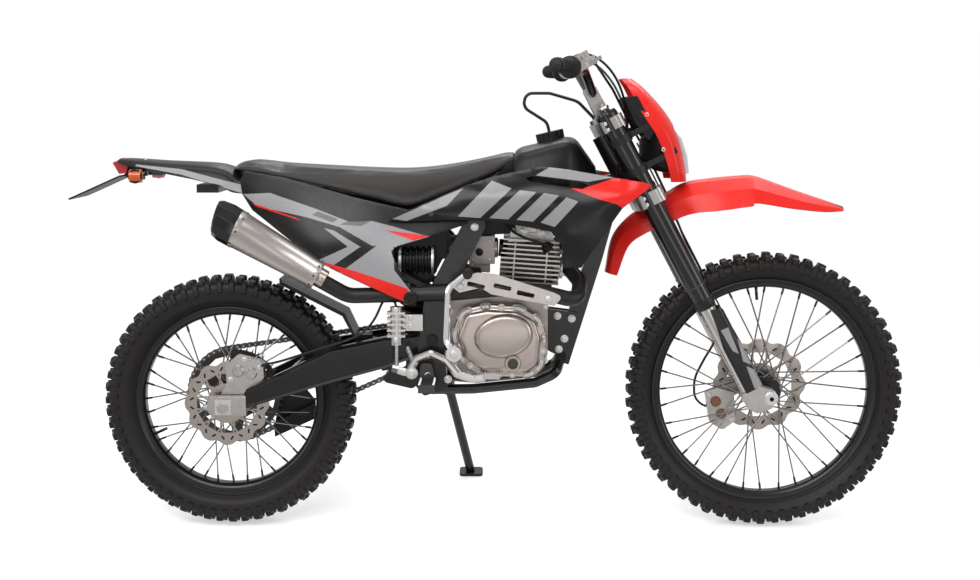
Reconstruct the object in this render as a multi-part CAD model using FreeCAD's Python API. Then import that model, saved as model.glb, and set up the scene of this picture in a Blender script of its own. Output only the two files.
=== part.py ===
"""Dual sport motorcycle, parked on its side stand. Millimetres.

Everything is laid out in the upright bike frame: x forward from the rear axle, y to the
rider's left, z up from the ground. park() then leans the bike onto its stand and moves the
origin to the middle of its footprint.
"""
import FreeCAD
import Part
import math
import os

V = FreeCAD.Vector

# Wheels and stance
WHEELBASE = 1356.0
FRONT_R = 350.0            # front tyre, to the lug tips
REAR_R = 321.0             # rear tyre, to the lug tips
LEAN = 10.0                # degrees, to the left, onto the side stand
FOOTPRINT_X = 664.0        # middle of the footprint, forward of the rear axle
FOOTPRINT_Y = 200.6        # and left of the wheels' contact line

# Tyres and rims
FRONT_TYRE_HALF = 43.0
REAR_TYRE_HALF = 52.0
LUG_H = 13.0
FRONT_TYRE_H = 66.0        # lug tips to the rim's flanges
REAR_TYRE_H = 81.0
FRONT_RIM_R = FRONT_R - FRONT_TYRE_H
REAR_RIM_R = REAR_R - REAR_TYRE_H
RIM_DEPTH = 22.0
FRONT_RIM_HALF = 22.0
REAR_RIM_HALF = 28.0
FRONT_LUGS = 30            # in the middle row, and in each shoulder row between them
REAR_LUGS = 30
MIDDLE_LUG_HALF = 14.0
SPOKES = 36
SPOKE_R = 1.9

# Hubs, axles, discs and chain
FRONT_HUB_R = 30.0
FRONT_HUB_HALF = 40.0
REAR_HUB_R = 36.0
REAR_HUB_HALF = 44.0
HUB_FLANGE_T = 6.0
FRONT_AXLE_R = 9.0
FRONT_AXLE_BORE = 5.5
REAR_AXLE_R = 9.0
AXLE_FIT = 0.3             # radial running clearance
FRONT_DISC_R = 119.0
REAR_DISC_R = 107.0
DISC_T = 4.0
FRONT_DISC_Y = 60.0        # on the left
REAR_DISC_Y = -64.0        # on the right
DISC_WAVES = 12
CHAIN_Y = 68.0             # chain line, on the left
PITCH = 15.875
REAR_TEETH = 48
FRONT_TEETH = 13
LINKS = 110
SPROCKET_T = 5.6
TOOTH_H = 3.5              # beyond the chain's pitch line
LINK_PLATE_H = 13.5
CHAIN_HALF = 8.2           # from the chain line to the outside of its plates
TOOTH_GROOVE_HALF = 3.6

# Front end
RAKE = 28.0                # degrees from upright
AXLE_LEAD = 37.0           # axle ahead of the fork tubes' centre line
CLAMP_OFFSET = 26.0        # fork tubes ahead of the steering stem
FORK_HALF = 105.0          # fork tube, from the middle plane
OUTER_TUBE_R = 27.0
INNER_TUBE_R = 20.5
LUG_TOP = 42.0             # heights along the fork, up from the axle
OUTER_BOTTOM = 286.0
LOWER_CLAMP = 559.0
LOWER_CLAMP_H = 34.0
UPPER_CLAMP = 765.0
UPPER_CLAMP_H = 30.0
FORK_TOP = 812.0
STEM_R = 15.0
HEAD_TUBE_R = 28.0
STEM_GAP = 3.0
BAR_R = 11.1
BAR_HALF = 405.0
BAR_UP = 866.0             # bar centre, up along the fork
BAR_AHEAD = -4.0

# Frame, engine and swingarm
PIVOT_X = 521.0
PIVOT_Z = 493.0
PIVOT_BOLT_R = 8.5
BODY_LENGTH = 835.0        # pivot to front axle, for which the body's stations are given
FRAME_HALF = 108.0         # frame uprights' centre, from the middle plane
UPRIGHT_W = 26.0
CRADLE_R = 13.0
CYLINDER_TILT = 4.0        # degrees forward
CHAIN_RISE = 16.3          # degrees, rear axle to engine sprocket
CAP_R = 35.0
PLATE_T = 4.0
PLATE_HOLES = 120.0        # between the number plate's screws
PLATE_HOLE_R = 3.3
MIRROR_HOLE_R = 4.25
FIN_COUNT = 10
FIN_PITCH = 11.5
FIN_T = 4.0
PIPE_R = 19.0
SKIN_T = 4.0

# Side stand
STAND_X = 548.0
STAND_Y = 144.0
STAND_Z = 336.0
STAND_LEG_R = 12.0
STAND_PIN_R = 6.0
FOOT_FORWARD = 55.0
FOOT_OUT = 305.0
FOOT_T = 8.0


def unit(v):
    return V(v).normalize()


def rounded(points, plane="xz", at=0.0):
    """Closed wire through points (a, b) or (a, b, radius), with round corners where a radius is given."""
    def put(a, b):
        return {"xz": V(a, at, b), "xy": V(a, b, at), "yz": V(at, a, b)}[plane]
    n = len(points)
    corners = []
    for i, p in enumerate(points):
        here = put(p[0], p[1])
        radius = p[2] if len(p) > 2 else 0.0
        if radius <= 0:
            corners.append((here, None, here))
            continue
        to_prev = unit(put(*points[i - 1][:2]) - here)
        to_next = unit(put(*points[(i + 1) % n][:2]) - here)
        half = to_prev.getAngle(to_next) / 2
        reach = radius / math.tan(half)
        middle = here + unit(to_prev + to_next) * (radius / math.sin(half) - radius)
        corners.append((here + to_prev * reach, middle, here + to_next * reach))
    edges = []
    for i in range(n):
        start, middle, end = corners[i]
        if middle is not None:
            edges.append(Part.Arc(start, middle, end).toShape())
        following = corners[(i + 1) % n][0]
        if end.distanceToPoint(following) > 1e-4:
            edges.append(Part.LineSegment(end, following).toShape())
    return Part.Wire(edges)


def slab(points, low, high, plane="xz"):
    """Outline extruded from low to high along the plane's normal."""
    along = {"xz": V(0, 1, 0), "xy": V(0, 0, 1), "yz": V(1, 0, 0)}[plane]
    return Part.Face(rounded(points, plane, low)).extrude(along * (high - low))


def box(x0, x1, y0, y1, z0, z1):
    return Part.makeBox(x1 - x0, y1 - y0, z1 - z0, V(x0, y0, z0))


def rod(start, end, radius):
    axis = end - start
    return Part.makeCylinder(radius, axis.Length, start, axis)


def prism(start, end, radius, sides):
    """Straight bar with a regular section of that many sides."""
    axis = unit(end - start)
    across = unit(axis.cross(V(0.31, 0.47, 0.83)))
    corners = []
    for k in range(sides):
        turn = FreeCAD.Rotation(axis, 360.0 * k / sides)
        corners.append(start + turn.multVec(across) * radius)
    return Part.Face(Part.makePolygon(corners + corners[:1])).extrude(end - start)


def path(points, bend):
    """Wire of straight runs joined by tangent arcs of radius bend, or less where the runs are short."""
    edges, last = [], points[0]
    for before, here, after in zip(points, points[1:], points[2:]):
        a, b = unit(before - here), unit(after - here)
        half = a.getAngle(b) / 2
        room = 0.45 * min((before - here).Length, (after - here).Length)
        reach = min(bend / math.tan(half), room)
        radius = reach * math.tan(half)
        start, end = here + a * reach, here + b * reach
        middle = here + unit(a + b) * (radius / math.sin(half) - radius)
        edges.append(Part.LineSegment(last, start).toShape())
        edges.append(Part.Arc(start, middle, end).toShape())
        last = end
    edges.append(Part.LineSegment(last, points[-1]).toShape())
    return Part.Wire(edges)


def tube(points, radius, bend, sides=0, section=None):
    """Round tube, or one with a polygon section, swept along rounded runs."""
    start, axis = points[0], unit(points[1] - points[0])
    if section:
        across = unit(V(0, 1, 0) - axis * axis.y)
        up = axis.cross(across)
        corners = [start + across * a + up * b for a, b in section]
        profile = Part.makePolygon(corners + corners[:1])
    elif sides:
        across = unit(axis.cross(V(0.31, 0.47, 0.83)))
        turns = [FreeCAD.Rotation(axis, 360.0 * k / sides) for k in range(sides)]
        corners = [start + t.multVec(across) * radius for t in turns]
        profile = Part.makePolygon(corners + corners[:1])
    else:
        profile = Part.Wire(Part.makeCircle(radius, start, axis))
    if len(points) == 2:
        return Part.Face(profile).extrude(points[1] - points[0])
    return path(points, bend).makePipeShell([profile], True, False)


def lathe(profile, centre, axis=V(0, 1, 0)):
    """Closed profile of (along, radius) points, turned about axis through centre."""
    wire = Part.makePolygon([V(r, 0, a) for a, r in profile + profile[:1]])
    solid = Part.Face(wire).revolve(V(0, 0, 0), V(0, 0, 1), 360)
    solid.Placement = FreeCAD.Placement(centre, FreeCAD.Rotation(V(0, 0, 1), axis))
    return solid


def fuse(shapes):
    whole = shapes[0].multiFuse(shapes[1:]) if len(shapes) > 1 else shapes[0]
    return whole.removeSplitter()


def mirrored(shape):
    return shape.mirror(V(0, 0, 0), V(0, 1, 0))


def both(shape):
    return [shape, mirrored(shape)]


def fork_point(ahead, lateral, up):
    """Point in the fork's own frame: ahead of the tubes, lateral, and up along them from the axle."""
    a = math.radians(RAKE)
    forward, upward = V(math.cos(a), 0, math.sin(a)), V(-math.sin(a), 0, math.cos(a))
    foot = V(WHEELBASE, 0, FRONT_R) - forward * AXLE_LEAD
    return foot + forward * ahead + V(0, lateral, 0) + upward * up


def on_fork(shape):
    """Moves a shape that was made in the fork's own frame onto the bike."""
    shape.Placement = FreeCAD.Placement(fork_point(0, 0, 0), FreeCAD.Rotation(V(0, 1, 0), -RAKE))
    return shape


def about_axle(angle, radius, y, centre):
    a = math.radians(angle)
    return centre + V(radius * math.sin(a), y, radius * math.cos(a))


def faceted_ring(profile, sides, centre):
    """Ring of flat faces: the closed (y, radius) profile repeated at each corner angle."""
    rings = [[about_axle(360.0 * k / sides, r, y, centre) for y, r in profile] for k in range(sides)]
    faces = []
    for k in range(sides):
        here, following = rings[k], rings[(k + 1) % sides]
        for i in range(len(profile)):
            j = (i + 1) % len(profile)
            corners = [here[i], here[j], following[j], following[i], here[i]]
            faces.append(Part.Face(Part.makePolygon(corners)))
    shell = Part.makeShell(faces)
    shell.sewShape()
    solid = Part.makeSolid(shell)
    return solid if solid.Volume > 0 else solid.reversed()


def lug(profile, angle, half_width, centre):
    """Block with the (y, radius) profile, across the tread at that angle."""
    a = math.radians(angle)
    tangent = V(math.cos(a), 0, -math.sin(a))
    corners = [about_axle(angle, r, y, centre) - tangent * half_width for y, r in profile]
    return Part.Face(Part.makePolygon(corners + corners[:1])).extrude(tangent * 2 * half_width)


def tyre(outer, half, rim_r, rim_half, lugs, middle_half_width, shoulder_half_width, centre):
    """Faceted carcass with a middle row of lugs and a row on each shoulder, all fused to it."""
    base = outer - LUG_H
    bead = rim_half - 4.6
    right = [(bead, rim_r - 6.5), (rim_half - 3.2, rim_r + 3), (half - 5, rim_r + 0.62 * (base - rim_r)),
             (half * 0.42, base)]
    profile = right + [(-y, r) for y, r in right[::-1]]
    step = 360.0 / lugs
    whole = [faceted_ring(profile, lugs, centre)]
    shoulder = [(half * 0.44, base - 6), (half * 0.49, outer - 2.5), (half, outer - 14), (half - 6, base - 14)]
    for k in range(lugs):
        whole.append(lug([(-MIDDLE_LUG_HALF, base - 5), (-MIDDLE_LUG_HALF, outer), (MIDDLE_LUG_HALF, outer),
                          (MIDDLE_LUG_HALF, base - 5)], step * k, middle_half_width, centre))
        for side in (1, -1):
            whole.append(lug([(side * y, r) for y, r in shoulder], step * (k + 0.5), shoulder_half_width, centre))
    return fuse(whole)


def rim(radius, half, centre):
    right = [(0, radius - RIM_DEPTH), (half * 0.55, radius - RIM_DEPTH), (half, radius - 14), (half, radius),
             (half - 2.5, radius), (half - 4, radius - 9), (0, radius - 9)]
    profile = right + [(-y, r) for y, r in right[-2:0:-1]]
    return lathe(profile, centre)


def spokes(rim_r, flange_r, flange_y, rim_y, centre):
    """Crossed spokes: each leaves a hub flange along its tangent and ends at the rim."""
    whole = []
    step = 360.0 / SPOKES
    for side in (1, -1):
        for k in range(SPOKES // 2):
            nipple = step * (2 * k + (0 if side > 0 else 1))
            leading = k % 2 == 0
            y = flange_y + (HUB_FLANGE_T / 2 + SPOKE_R + 1.4) * (1 if leading else -1)
            start = about_axle(nipple - (60 if leading else -60), flange_r - 2.5, side * y, centre)
            end = about_axle(nipple, rim_r - RIM_DEPTH - 0.05, side * rim_y, centre)
            whole.append(prism(start, end - (end - start).normalize() * 1.2, SPOKE_R, 5))
    return Part.makeCompound(whole)


def hub(barrel_r, flange_r, flange_y, ends, bore, centre):
    """Hub turned with two spoke flanges; ends are the (y, radius) steps of its disc and sprocket seats."""
    t = HUB_FLANGE_T / 2
    left_y, left_r = ends[1]
    right_y, right_r = ends[0]
    profile = [(right_y, bore), (right_y, right_r), (-flange_y - t, right_r), (-flange_y - t, flange_r),
               (-flange_y + t, flange_r), (-flange_y + t + 3, barrel_r), (flange_y - t - 3, barrel_r),
               (flange_y - t, flange_r), (flange_y + t, flange_r), (flange_y + t, left_r), (left_y, left_r),
               (left_y, bore)]
    return lathe(profile, centre)


def disc(radius, y, seat_r, centre):
    """Wave brake disc: scalloped rim, a window in each wave and spokes down to its seat."""
    outline = []
    for k in range(DISC_WAVES):
        for part, scale in ((0.0, 1.0), (0.3, 0.985), (0.5, 0.945), (0.7, 0.985)):
            outline.append(about_axle(360.0 * (k + part) / DISC_WAVES, radius * scale, y - DISC_T / 2, centre))
    plate = Part.Face(Part.makePolygon(outline + outline[:1])).extrude(V(0, DISC_T, 0))
    holes = [rod(centre + V(0, y - DISC_T, 0), centre + V(0, y + DISC_T, 0), seat_r)]
    step = 360.0 / DISC_WAVES
    for k in range(DISC_WAVES):
        window = [(0.08, 0.86), (0.42, 0.86), (0.36, 0.76), (0.14, 0.76)]
        slot = [(0.55, 0.70), (0.95, 0.70), (0.90, 0.52), (0.62, 0.52)]
        for shape in (window, slot):
            corners = [about_axle(step * (k + a), radius * r, y - DISC_T, centre) for a, r in shape]
            holes.append(Part.Face(Part.makePolygon(corners + corners[:1])).extrude(V(0, 2 * DISC_T, 0)))
    return plate.cut(Part.makeCompound(holes))


def pitch_radius(teeth):
    return PITCH / (2 * math.sin(math.pi / teeth))


def chain_layout():
    """Where the engine sprocket sits so that a whole number of links closes the loop, and every roller's place."""
    big, small = pitch_radius(REAR_TEETH), pitch_radius(FRONT_TEETH)
    near, far = 300.0, 900.0
    for _ in range(60):
        span = (near + far) / 2
        spread = math.asin((big - small) / span)
        pitches = (2 * span * math.cos(spread) / PITCH + REAR_TEETH * (math.pi + 2 * spread) / (2 * math.pi)
                   + FRONT_TEETH * (math.pi - 2 * spread) / (2 * math.pi))
        if pitches < LINKS:
            near = span
        else:
            far = span
    rise = math.radians(CHAIN_RISE)
    rear = V(0, CHAIN_Y, REAR_R)
    front = rear + V(math.cos(rise), 0, math.sin(rise)) * span
    top = rise + math.pi / 2 - spread
    bottom = rise - math.pi / 2 + spread
    run = span * math.cos(spread) / PITCH
    wrap_rear = REAR_TEETH * (math.pi + 2 * spread) / (2 * math.pi)
    wrap_front = LINKS - 2 * run - wrap_rear

    def at(angle, radius, centre):
        return centre + V(math.cos(angle), 0, math.sin(angle)) * radius

    def place(s):
        s = s % LINKS
        if s < wrap_rear:
            return at(top + s * 2 * math.pi / REAR_TEETH, big, rear)
        s -= wrap_rear
        if s < run:
            start, end = at(bottom, big, rear), at(bottom, small, front)
            return start + (end - start) * (s / run)
        s -= run
        if s < wrap_front:
            return at(bottom + s * 2 * math.pi / FRONT_TEETH, small, front)
        s -= wrap_front
        start, end = at(top, small, front), at(top, big, rear)
        return start + (end - start) * (s / run)

    return front, math.degrees(top) + 180.0 / REAR_TEETH, [place(k + 0.5) for k in range(LINKS)]


def chain():
    """Closed loop with a corner at every roller, grooved inside where the rear sprocket's teeth pass."""
    rollers = chain_layout()[2]
    outer, inner = [], []
    for k, here in enumerate(rollers):
        along = unit(rollers[(k + 1) % LINKS] - rollers[k - 1])
        inward = V(-along.z, 0, along.x) * (LINK_PLATE_H / 2)
        outer.append(here - inward - V(0, CHAIN_HALF, 0))
        inner.append(here + inward - V(0, CHAIN_HALF, 0))
    across = V(0, 2 * CHAIN_HALF, 0)
    loop = Part.Face(Part.makePolygon(outer + outer[:1])).extrude(across)
    loop = loop.cut(Part.Face(Part.makePolygon(inner + inner[:1])).extrude(across))
    rear, half = V(0, CHAIN_Y, REAR_R), V(0, TOOTH_GROOVE_HALF, 0)
    return loop.cut(rod(rear - half, rear + half, pitch_radius(REAR_TEETH) + TOOTH_H + 1.5))


def sprocket(teeth, phase, seat_r, windows, centre):
    """Toothed wheel; a gap between teeth sits at every roller's angle, counted from phase."""
    radius = pitch_radius(teeth)
    outline = []
    for k in range(teeth):
        for part, r in ((0.36, radius - 5.5), (0.47, radius + TOOTH_H), (0.53, radius + TOOTH_H), (0.64, radius - 5.5)):
            angle = math.radians(phase + 360.0 * (k + part) / teeth)
            outline.append(centre + V(math.cos(angle) * r, -SPROCKET_T / 2, math.sin(angle) * r))
    plate = Part.Face(Part.makePolygon(outline + outline[:1])).extrude(V(0, SPROCKET_T, 0))
    holes = [rod(centre - V(0, SPROCKET_T, 0), centre + V(0, SPROCKET_T, 0), seat_r)]
    for k in range(windows):
        corners = [about_axle(360.0 * (k + a) / windows, radius * r, -SPROCKET_T, centre)
                   for a, r in ((0.12, 0.84), (0.5, 0.86), (0.88, 0.84), (0.72, 0.56), (0.28, 0.56))]
        holes.append(Part.Face(Part.makePolygon(corners + corners[:1])).extrude(V(0, 2 * SPROCKET_T, 0)))
    return plate.cut(Part.makeCompound(holes))


def loft(stations, ruled=True):
    """Solid through closed outlines with the same number of corners."""
    return Part.makeLoft([Part.makePolygon(s + s[:1]) for s in stations], True, ruled)


def arched(stations, thick, ruled=True):
    """Thin moulding over the middle plane. A station is its middle point (x, z) and the right half of its outline as
    (half width, drop below the middle), edge first; it stands square to the run and the left half mirrors it."""
    runs = [V(x, 0, z) for (x, z), outline in stations]
    wires = []
    for i, (middle, outline) in enumerate(stations):
        along = unit(runs[min(i + 1, len(runs) - 1)] - runs[max(i - 1, 0)])
        down = V(along.z, 0, -along.x)
        down = down if down.z < 0 else -down
        right = [runs[i] + V(0, -half, 0) + down * drop for half, drop in outline]
        over = right + [runs[i]] + [V(p.x, -p.y, p.z) for p in right[::-1]]
        squeeze = 1 - thick / outline[0][0]
        under = [V(p.x, p.y * squeeze, p.z) + down * thick for p in over]
        wires.append(over + under[::-1])
    return loft(wires, ruled)


def side_skin(stations, thick, ruled=True):
    """Thin moulding on the right side: each station is a list of (x, y, z), and the inside lies thick inboard."""
    return loft([[V(*p) for p in s] + [V(x, y + thick, z) for x, y, z in s[::-1]] for s in stations], ruled)


def triple_clamps():
    whole = []
    for low, height, reach in ((LOWER_CLAMP, LOWER_CLAMP_H, 34.0), (UPPER_CLAMP, UPPER_CLAMP_H, 30.0)):
        outline = [(-reach + 3, -FORK_HALF - 18, 18), (reach, -FORK_HALF - 36, 14), (reach + 6, -FORK_HALF + 26, 8),
                   (12, -40, 20), (12, 40, 20), (reach + 6, FORK_HALF - 26, 8), (reach, FORK_HALF + 36, 14),
                   (-reach + 3, FORK_HALF + 18, 18), (-reach - 6, FORK_HALF - 26, 10), (-46, 18, 16),
                   (-46, -18, 16), (-reach - 6, -FORK_HALF + 26, 10)]
        whole.append(slab(outline, low, low + height, "xy"))
    stem = rod(V(-CLAMP_OFFSET, 0, LOWER_CLAMP), V(-CLAMP_OFFSET, 0, UPPER_CLAMP + UPPER_CLAMP_H + 10), STEM_R)
    whole.append(stem)
    top = UPPER_CLAMP + UPPER_CLAMP_H
    for side in (1, -1):
        riser = [(-22, top, 3), (14, top, 3), (12, BAR_UP - 12), (12, BAR_UP + 15, 8), (-20, BAR_UP + 15, 8),
                 (-20, BAR_UP - 12)]
        whole.append(slab(riser, side * 40 - 14, side * 40 + 14))
    for y in (-30, 30):
        whole.append(rod(V(-10, y, LOWER_CLAMP - 22), V(-10, y, LOWER_CLAMP + 4), 6))
    body = fuse(whole)
    for side in (1, -1):
        y = side * FORK_HALF
        body = body.cut(rod(V(0, y, LOWER_CLAMP - 5), V(0, y, top + 5), OUTER_TUBE_R))
    return on_fork(body.cut(rod(V(BAR_AHEAD, -80, BAR_UP), V(BAR_AHEAD, 80, BAR_UP), BAR_R)))


def fork_outer_tubes():
    whole = []
    for side in (1, -1):
        y = side * FORK_HALF
        profile = [(0, 0.1), (0, OUTER_TUBE_R - 2), (12, OUTER_TUBE_R), (FORK_TOP - OUTER_BOTTOM - 8, OUTER_TUBE_R),
                   (FORK_TOP - OUTER_BOTTOM, OUTER_TUBE_R - 3), (FORK_TOP - OUTER_BOTTOM, 13),
                   (FORK_TOP - OUTER_BOTTOM + 8, 11), (FORK_TOP - OUTER_BOTTOM + 8, 0.1)]
        whole.append(lathe(profile, V(0, y, OUTER_BOTTOM), V(0, 0, 1)))
    return on_fork(Part.makeCompound(whole))


def fork_legs():
    """Sliding tubes with the axle lugs at their feet."""
    whole = []
    for side in (1, -1):
        y = side * FORK_HALF
        slider = rod(V(0, y, LUG_TOP - 6), V(0, y, OUTER_BOTTOM), INNER_TUBE_R)
        lug_outline = [(-23, LUG_TOP, 6), (24, LUG_TOP, 8), (54, 12, 8), (54, -4, 8), (28, -24, 10), (-12, -18, 12),
                       (-24, 6, 6)]
        shoe = slab(lug_outline, y - 22, y + 22)
        whole.append(fuse([slider, shoe]))
    legs = Part.makeCompound(whole)
    return on_fork(legs.cut(rod(V(*axle_in_fork(-200)), V(*axle_in_fork(200)), FRONT_AXLE_R)))


def axle_in_fork(lateral):
    return (AXLE_LEAD, lateral, 0.0)


def fork_guards():
    whole = []
    for side in (1, -1):
        y = side * FORK_HALF
        outside = slab([(-14, -29, 10), (34, -29, 16), (34, 29, 16), (-14, 29, 10)], 30, 262, "xy")
        inside = slab([(-40, -25.5, 8), (30.5, -25.5, 13), (30.5, 25.5, 13), (-40, 25.5, 8)], 20, 270, "xy")
        foot = slab([(-10, -27, 8), (32, -27, 14), (32, 27, 14), (-10, 27, 8)], LUG_TOP, LUG_TOP + 5, "xy")
        channel = fuse([outside.cut(inside), foot])
        channel.translate(V(0, y, 0))
        side_cut = slab([(-20, 40), (60, 40), (60, 200), (28, 262), (6, 262), (-20, 120)], y - 60, y + 60)
        whole.append(channel.common(side_cut))
    return on_fork(Part.makeCompound(whole))


def bar_points():
    return [V(BAR_AHEAD, 0, BAR_UP), V(BAR_AHEAD, 78, BAR_UP), V(-2, 190, BAR_UP + 62),
            V(-62, BAR_HALF, BAR_UP + 100)]


def handlebar():
    half = bar_points()
    run = [V(p.x, -p.y, p.z) for p in half[:0:-1]] + half[1:]
    return on_fork(tube(run, BAR_R, 60))


def grip_axis():
    inner, outer = bar_points()[2], bar_points()[3]
    return outer, unit(outer - inner)


def grips():
    end, axis = grip_axis()
    profile = [(0.1, 0.1), (0.1, 17), (-100, 16), (-108, 26), (-114, 26), (-118, 17), (-118, BAR_R), (0, BAR_R),
               (0, 0.1)]
    left = lathe(profile, end, axis)
    return on_fork(Part.makeCompound(both(left)))


def hand_controls():
    """Perch and lever at each side, with the front brake's reservoir on the right."""
    end, axis = grip_axis()
    near, far, middle = end - axis * 136, end - axis * 166, end - axis * 150
    x, y, z = middle.x, middle.y, middle.z
    arm = box(x + 8, x + 52, y - 12, y + 12, z - 14, z + 6)
    blade = slab([(x + 36, y - 10), (x + 50, y - 10), (x + 62, y + 60), (x + 26, end.y - 22, 2),
                  (x + 14, end.y - 16, 2), (x + 50, y + 58)], z - 10, z - 2, "xy")
    boss = rod(V(x + 26, y, z), V(x + 26, y, z + 16), 8)
    thread = rod(V(x + 26, y, z + 2), V(x + 26, y, z + 20), MIRROR_HOLE_R)
    bar = rod(near + axis * 20, far - axis * 50, BAR_R)
    left = fuse([rod(near, far, 18), arm, blade, boss]).cut(thread).cut(bar)
    reservoir = box(x + 4, x + 44, y - 52, y - 6, z - 6, z + 24)
    right = fuse([mirrored(fuse([rod(near, far, 18), arm, blade, boss])), mirrored(reservoir)])
    right = right.cut(mirrored(thread)).cut(mirrored(bar))
    return on_fork(Part.makeCompound([left, right]))


def mask_outline(z, front, rear, half):
    """Level outline of the headlamp mask, right rear corner round the front to the left rear corner, from the axle."""
    right = [(rear, -half), (rear + (front - rear) * 0.5, -half * 0.94), (rear + (front - rear) * 0.82, -half * 0.72),
             (front, -half * 0.3)]
    outline = right + [(x, -y) for x, y in right[::-1]]
    return [V(WHEELBASE + x, y, FRONT_R + z) for x, y in outline]


MASK = [(782, -344, -372, 40), (760, -316, -356, 74), (695, -258, -322, 104),
        (639, -228, -286, 112), (563, -210, -258, 106), (530, -206, -250, 96)]   # from the front axle


def headlamp_mask():
    outer = loft([mask_outline(*level) for level in MASK])
    inner_levels = [(z + (8 if i == 0 else -8 if i == len(MASK) - 1 else 0), front - 5, rear - 30, half - 5)
                    for i, (z, front, rear, half) in enumerate(MASK)]
    shell = outer.cut(loft([mask_outline(*level) for level in inner_levels]))
    return shell.cut(lens_opening())


def mask_straps():
    """Rubber rings round the fork tubes, each with an arm forward to the mask."""
    whole = []
    for side in (1, -1):
        y = side * FORK_HALF
        for up in (640, 724):
            ring = rod(V(0, y, up), V(0, y, up + 20), OUTER_TUBE_R + 4)
            lo, hi = sorted((side * 96, side * 104))
            arm = box(20, 100 if up > 700 else 112, lo, hi, up + 3, up + 17)
            whole.append(fuse([ring, arm]).cut(rod(V(0, y, up - 5), V(0, y, up + 30), OUTER_TUBE_R)))
    return on_fork(Part.makeCompound(whole))


def lens_opening():
    top, bottom = FRONT_R + 666, FRONT_R + 548
    return slab([(-62, top, 14), (62, top, 14), (48, bottom, 18), (-48, bottom, 18)], WHEELBASE - 296,
                WHEELBASE - 156, "yz")


def headlamp_lens():
    face = [(666, -245, -264, 61.5), (635, -218, -256, 57), (590, -203, -244, 52),
            (548.5, -198, -228, 47)]
    body = loft([mask_outline(z, front, rear, half) for z, front, rear, half in face])
    return body.common(lens_opening())


def front_fender():
    """Long fender: a tongue behind the fork, a neck between the tubes and a broad blade over the wheel."""
    stations = [
        ((-404, 296), [(48, 10), (30, 3)]),
        ((-384, 388), [(60, 14), (38, 4)]),
        ((-344, 438), [(68, 22), (44, 6)]),
        ((-292, 470), [(72, 30), (46, 8)]),
        ((-250, 500), [(72, 42), (50, 10)]),
        ((-206, 526), [(100, 56), (66, 14)]),
        ((-146, 539), [(112, 62), (72, 14)]),
        ((-46, 544), [(110, 60), (70, 13)]),
        ((64, 527), [(94, 52), (58, 11)]),
        ((144, 498), [(66, 36), (40, 8)]),
        ((189, 466), [(28, 10), (16, 3)])]
    fender = arched(stations, 4.0)
    fender.translate(front_centre())
    return fender


def front_axle():
    body = rod(V(WHEELBASE, -FORK_HALF - 30, FRONT_R), V(WHEELBASE, FORK_HALF + 30, FRONT_R), FRONT_AXLE_R)
    nut = prism(V(WHEELBASE, FORK_HALF + 22, FRONT_R), V(WHEELBASE, FORK_HALF + 34, FRONT_R), 15, 6)
    collar = rod(V(WHEELBASE, -FORK_HALF - 34, FRONT_R), V(WHEELBASE, -FORK_HALF - 22, FRONT_R), 14)
    bore = rod(V(WHEELBASE, -200, FRONT_R), V(WHEELBASE, 200, FRONT_R), FRONT_AXLE_BORE)
    return fuse([body, nut, collar]).cut(bore)


def front_caliper():
    outline = [(-140, -20, 8), (-94, 0, 8), (-66, -20, 8), (-60, -92, 10), (-94, -118, 12), (-128, -96, 8)]
    body = slab(outline, FRONT_DISC_Y - 15, FRONT_DISC_Y + 15)
    slot = rod(V(0, FRONT_DISC_Y - 5, 0), V(0, FRONT_DISC_Y + 5, 0), FRONT_DISC_R + 4)
    bracket = slab([(-116, -32), (-94, -50), (-46, -22), (-38, 2), (-60, 22), (-80, 16)], FRONT_DISC_Y + 8,
                   FORK_HALF - 22)
    caliper = fuse([body, bracket]).cut(slot)
    caliper.translate(front_centre())
    return caliper


def brake_hose():
    """From the caliper in a bow behind the left leg, up the front of the fork and across to the right lever."""
    route = [(-88, 78.6, -6), (-116, 79, 12), (-126, 74, 44), (-104, 70, 90), (-56, 70, 124), (-10, 70, 152),
             (24, 70, 196), (38, 74, 272), (42, 94, 340), (42, 110, 420), (54, 114, 545), (57, 114, 645),
             (54, 86, 704), (48, 20, 772), (44, -70, 850), (30, -170, 925)]
    return tube([fork_point(*place) for place in route], 3.2, 200, 8)


def along_body(x):
    """Ahead of the pivot, a station keeps its share of the way to the front axle."""
    if x <= PIVOT_X:
        return x
    return PIVOT_X + (x - PIVOT_X) * (WHEELBASE - PIVOT_X) / BODY_LENGTH


def steering_axis_point(up):
    return fork_point(-CLAMP_OFFSET, 0, up)


def backbone_points():
    return [fork_point(-CLAMP_OFFSET - 10, 0, 640), V(along_body(850), 0, 846), V(622, 0, 798)]


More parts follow.
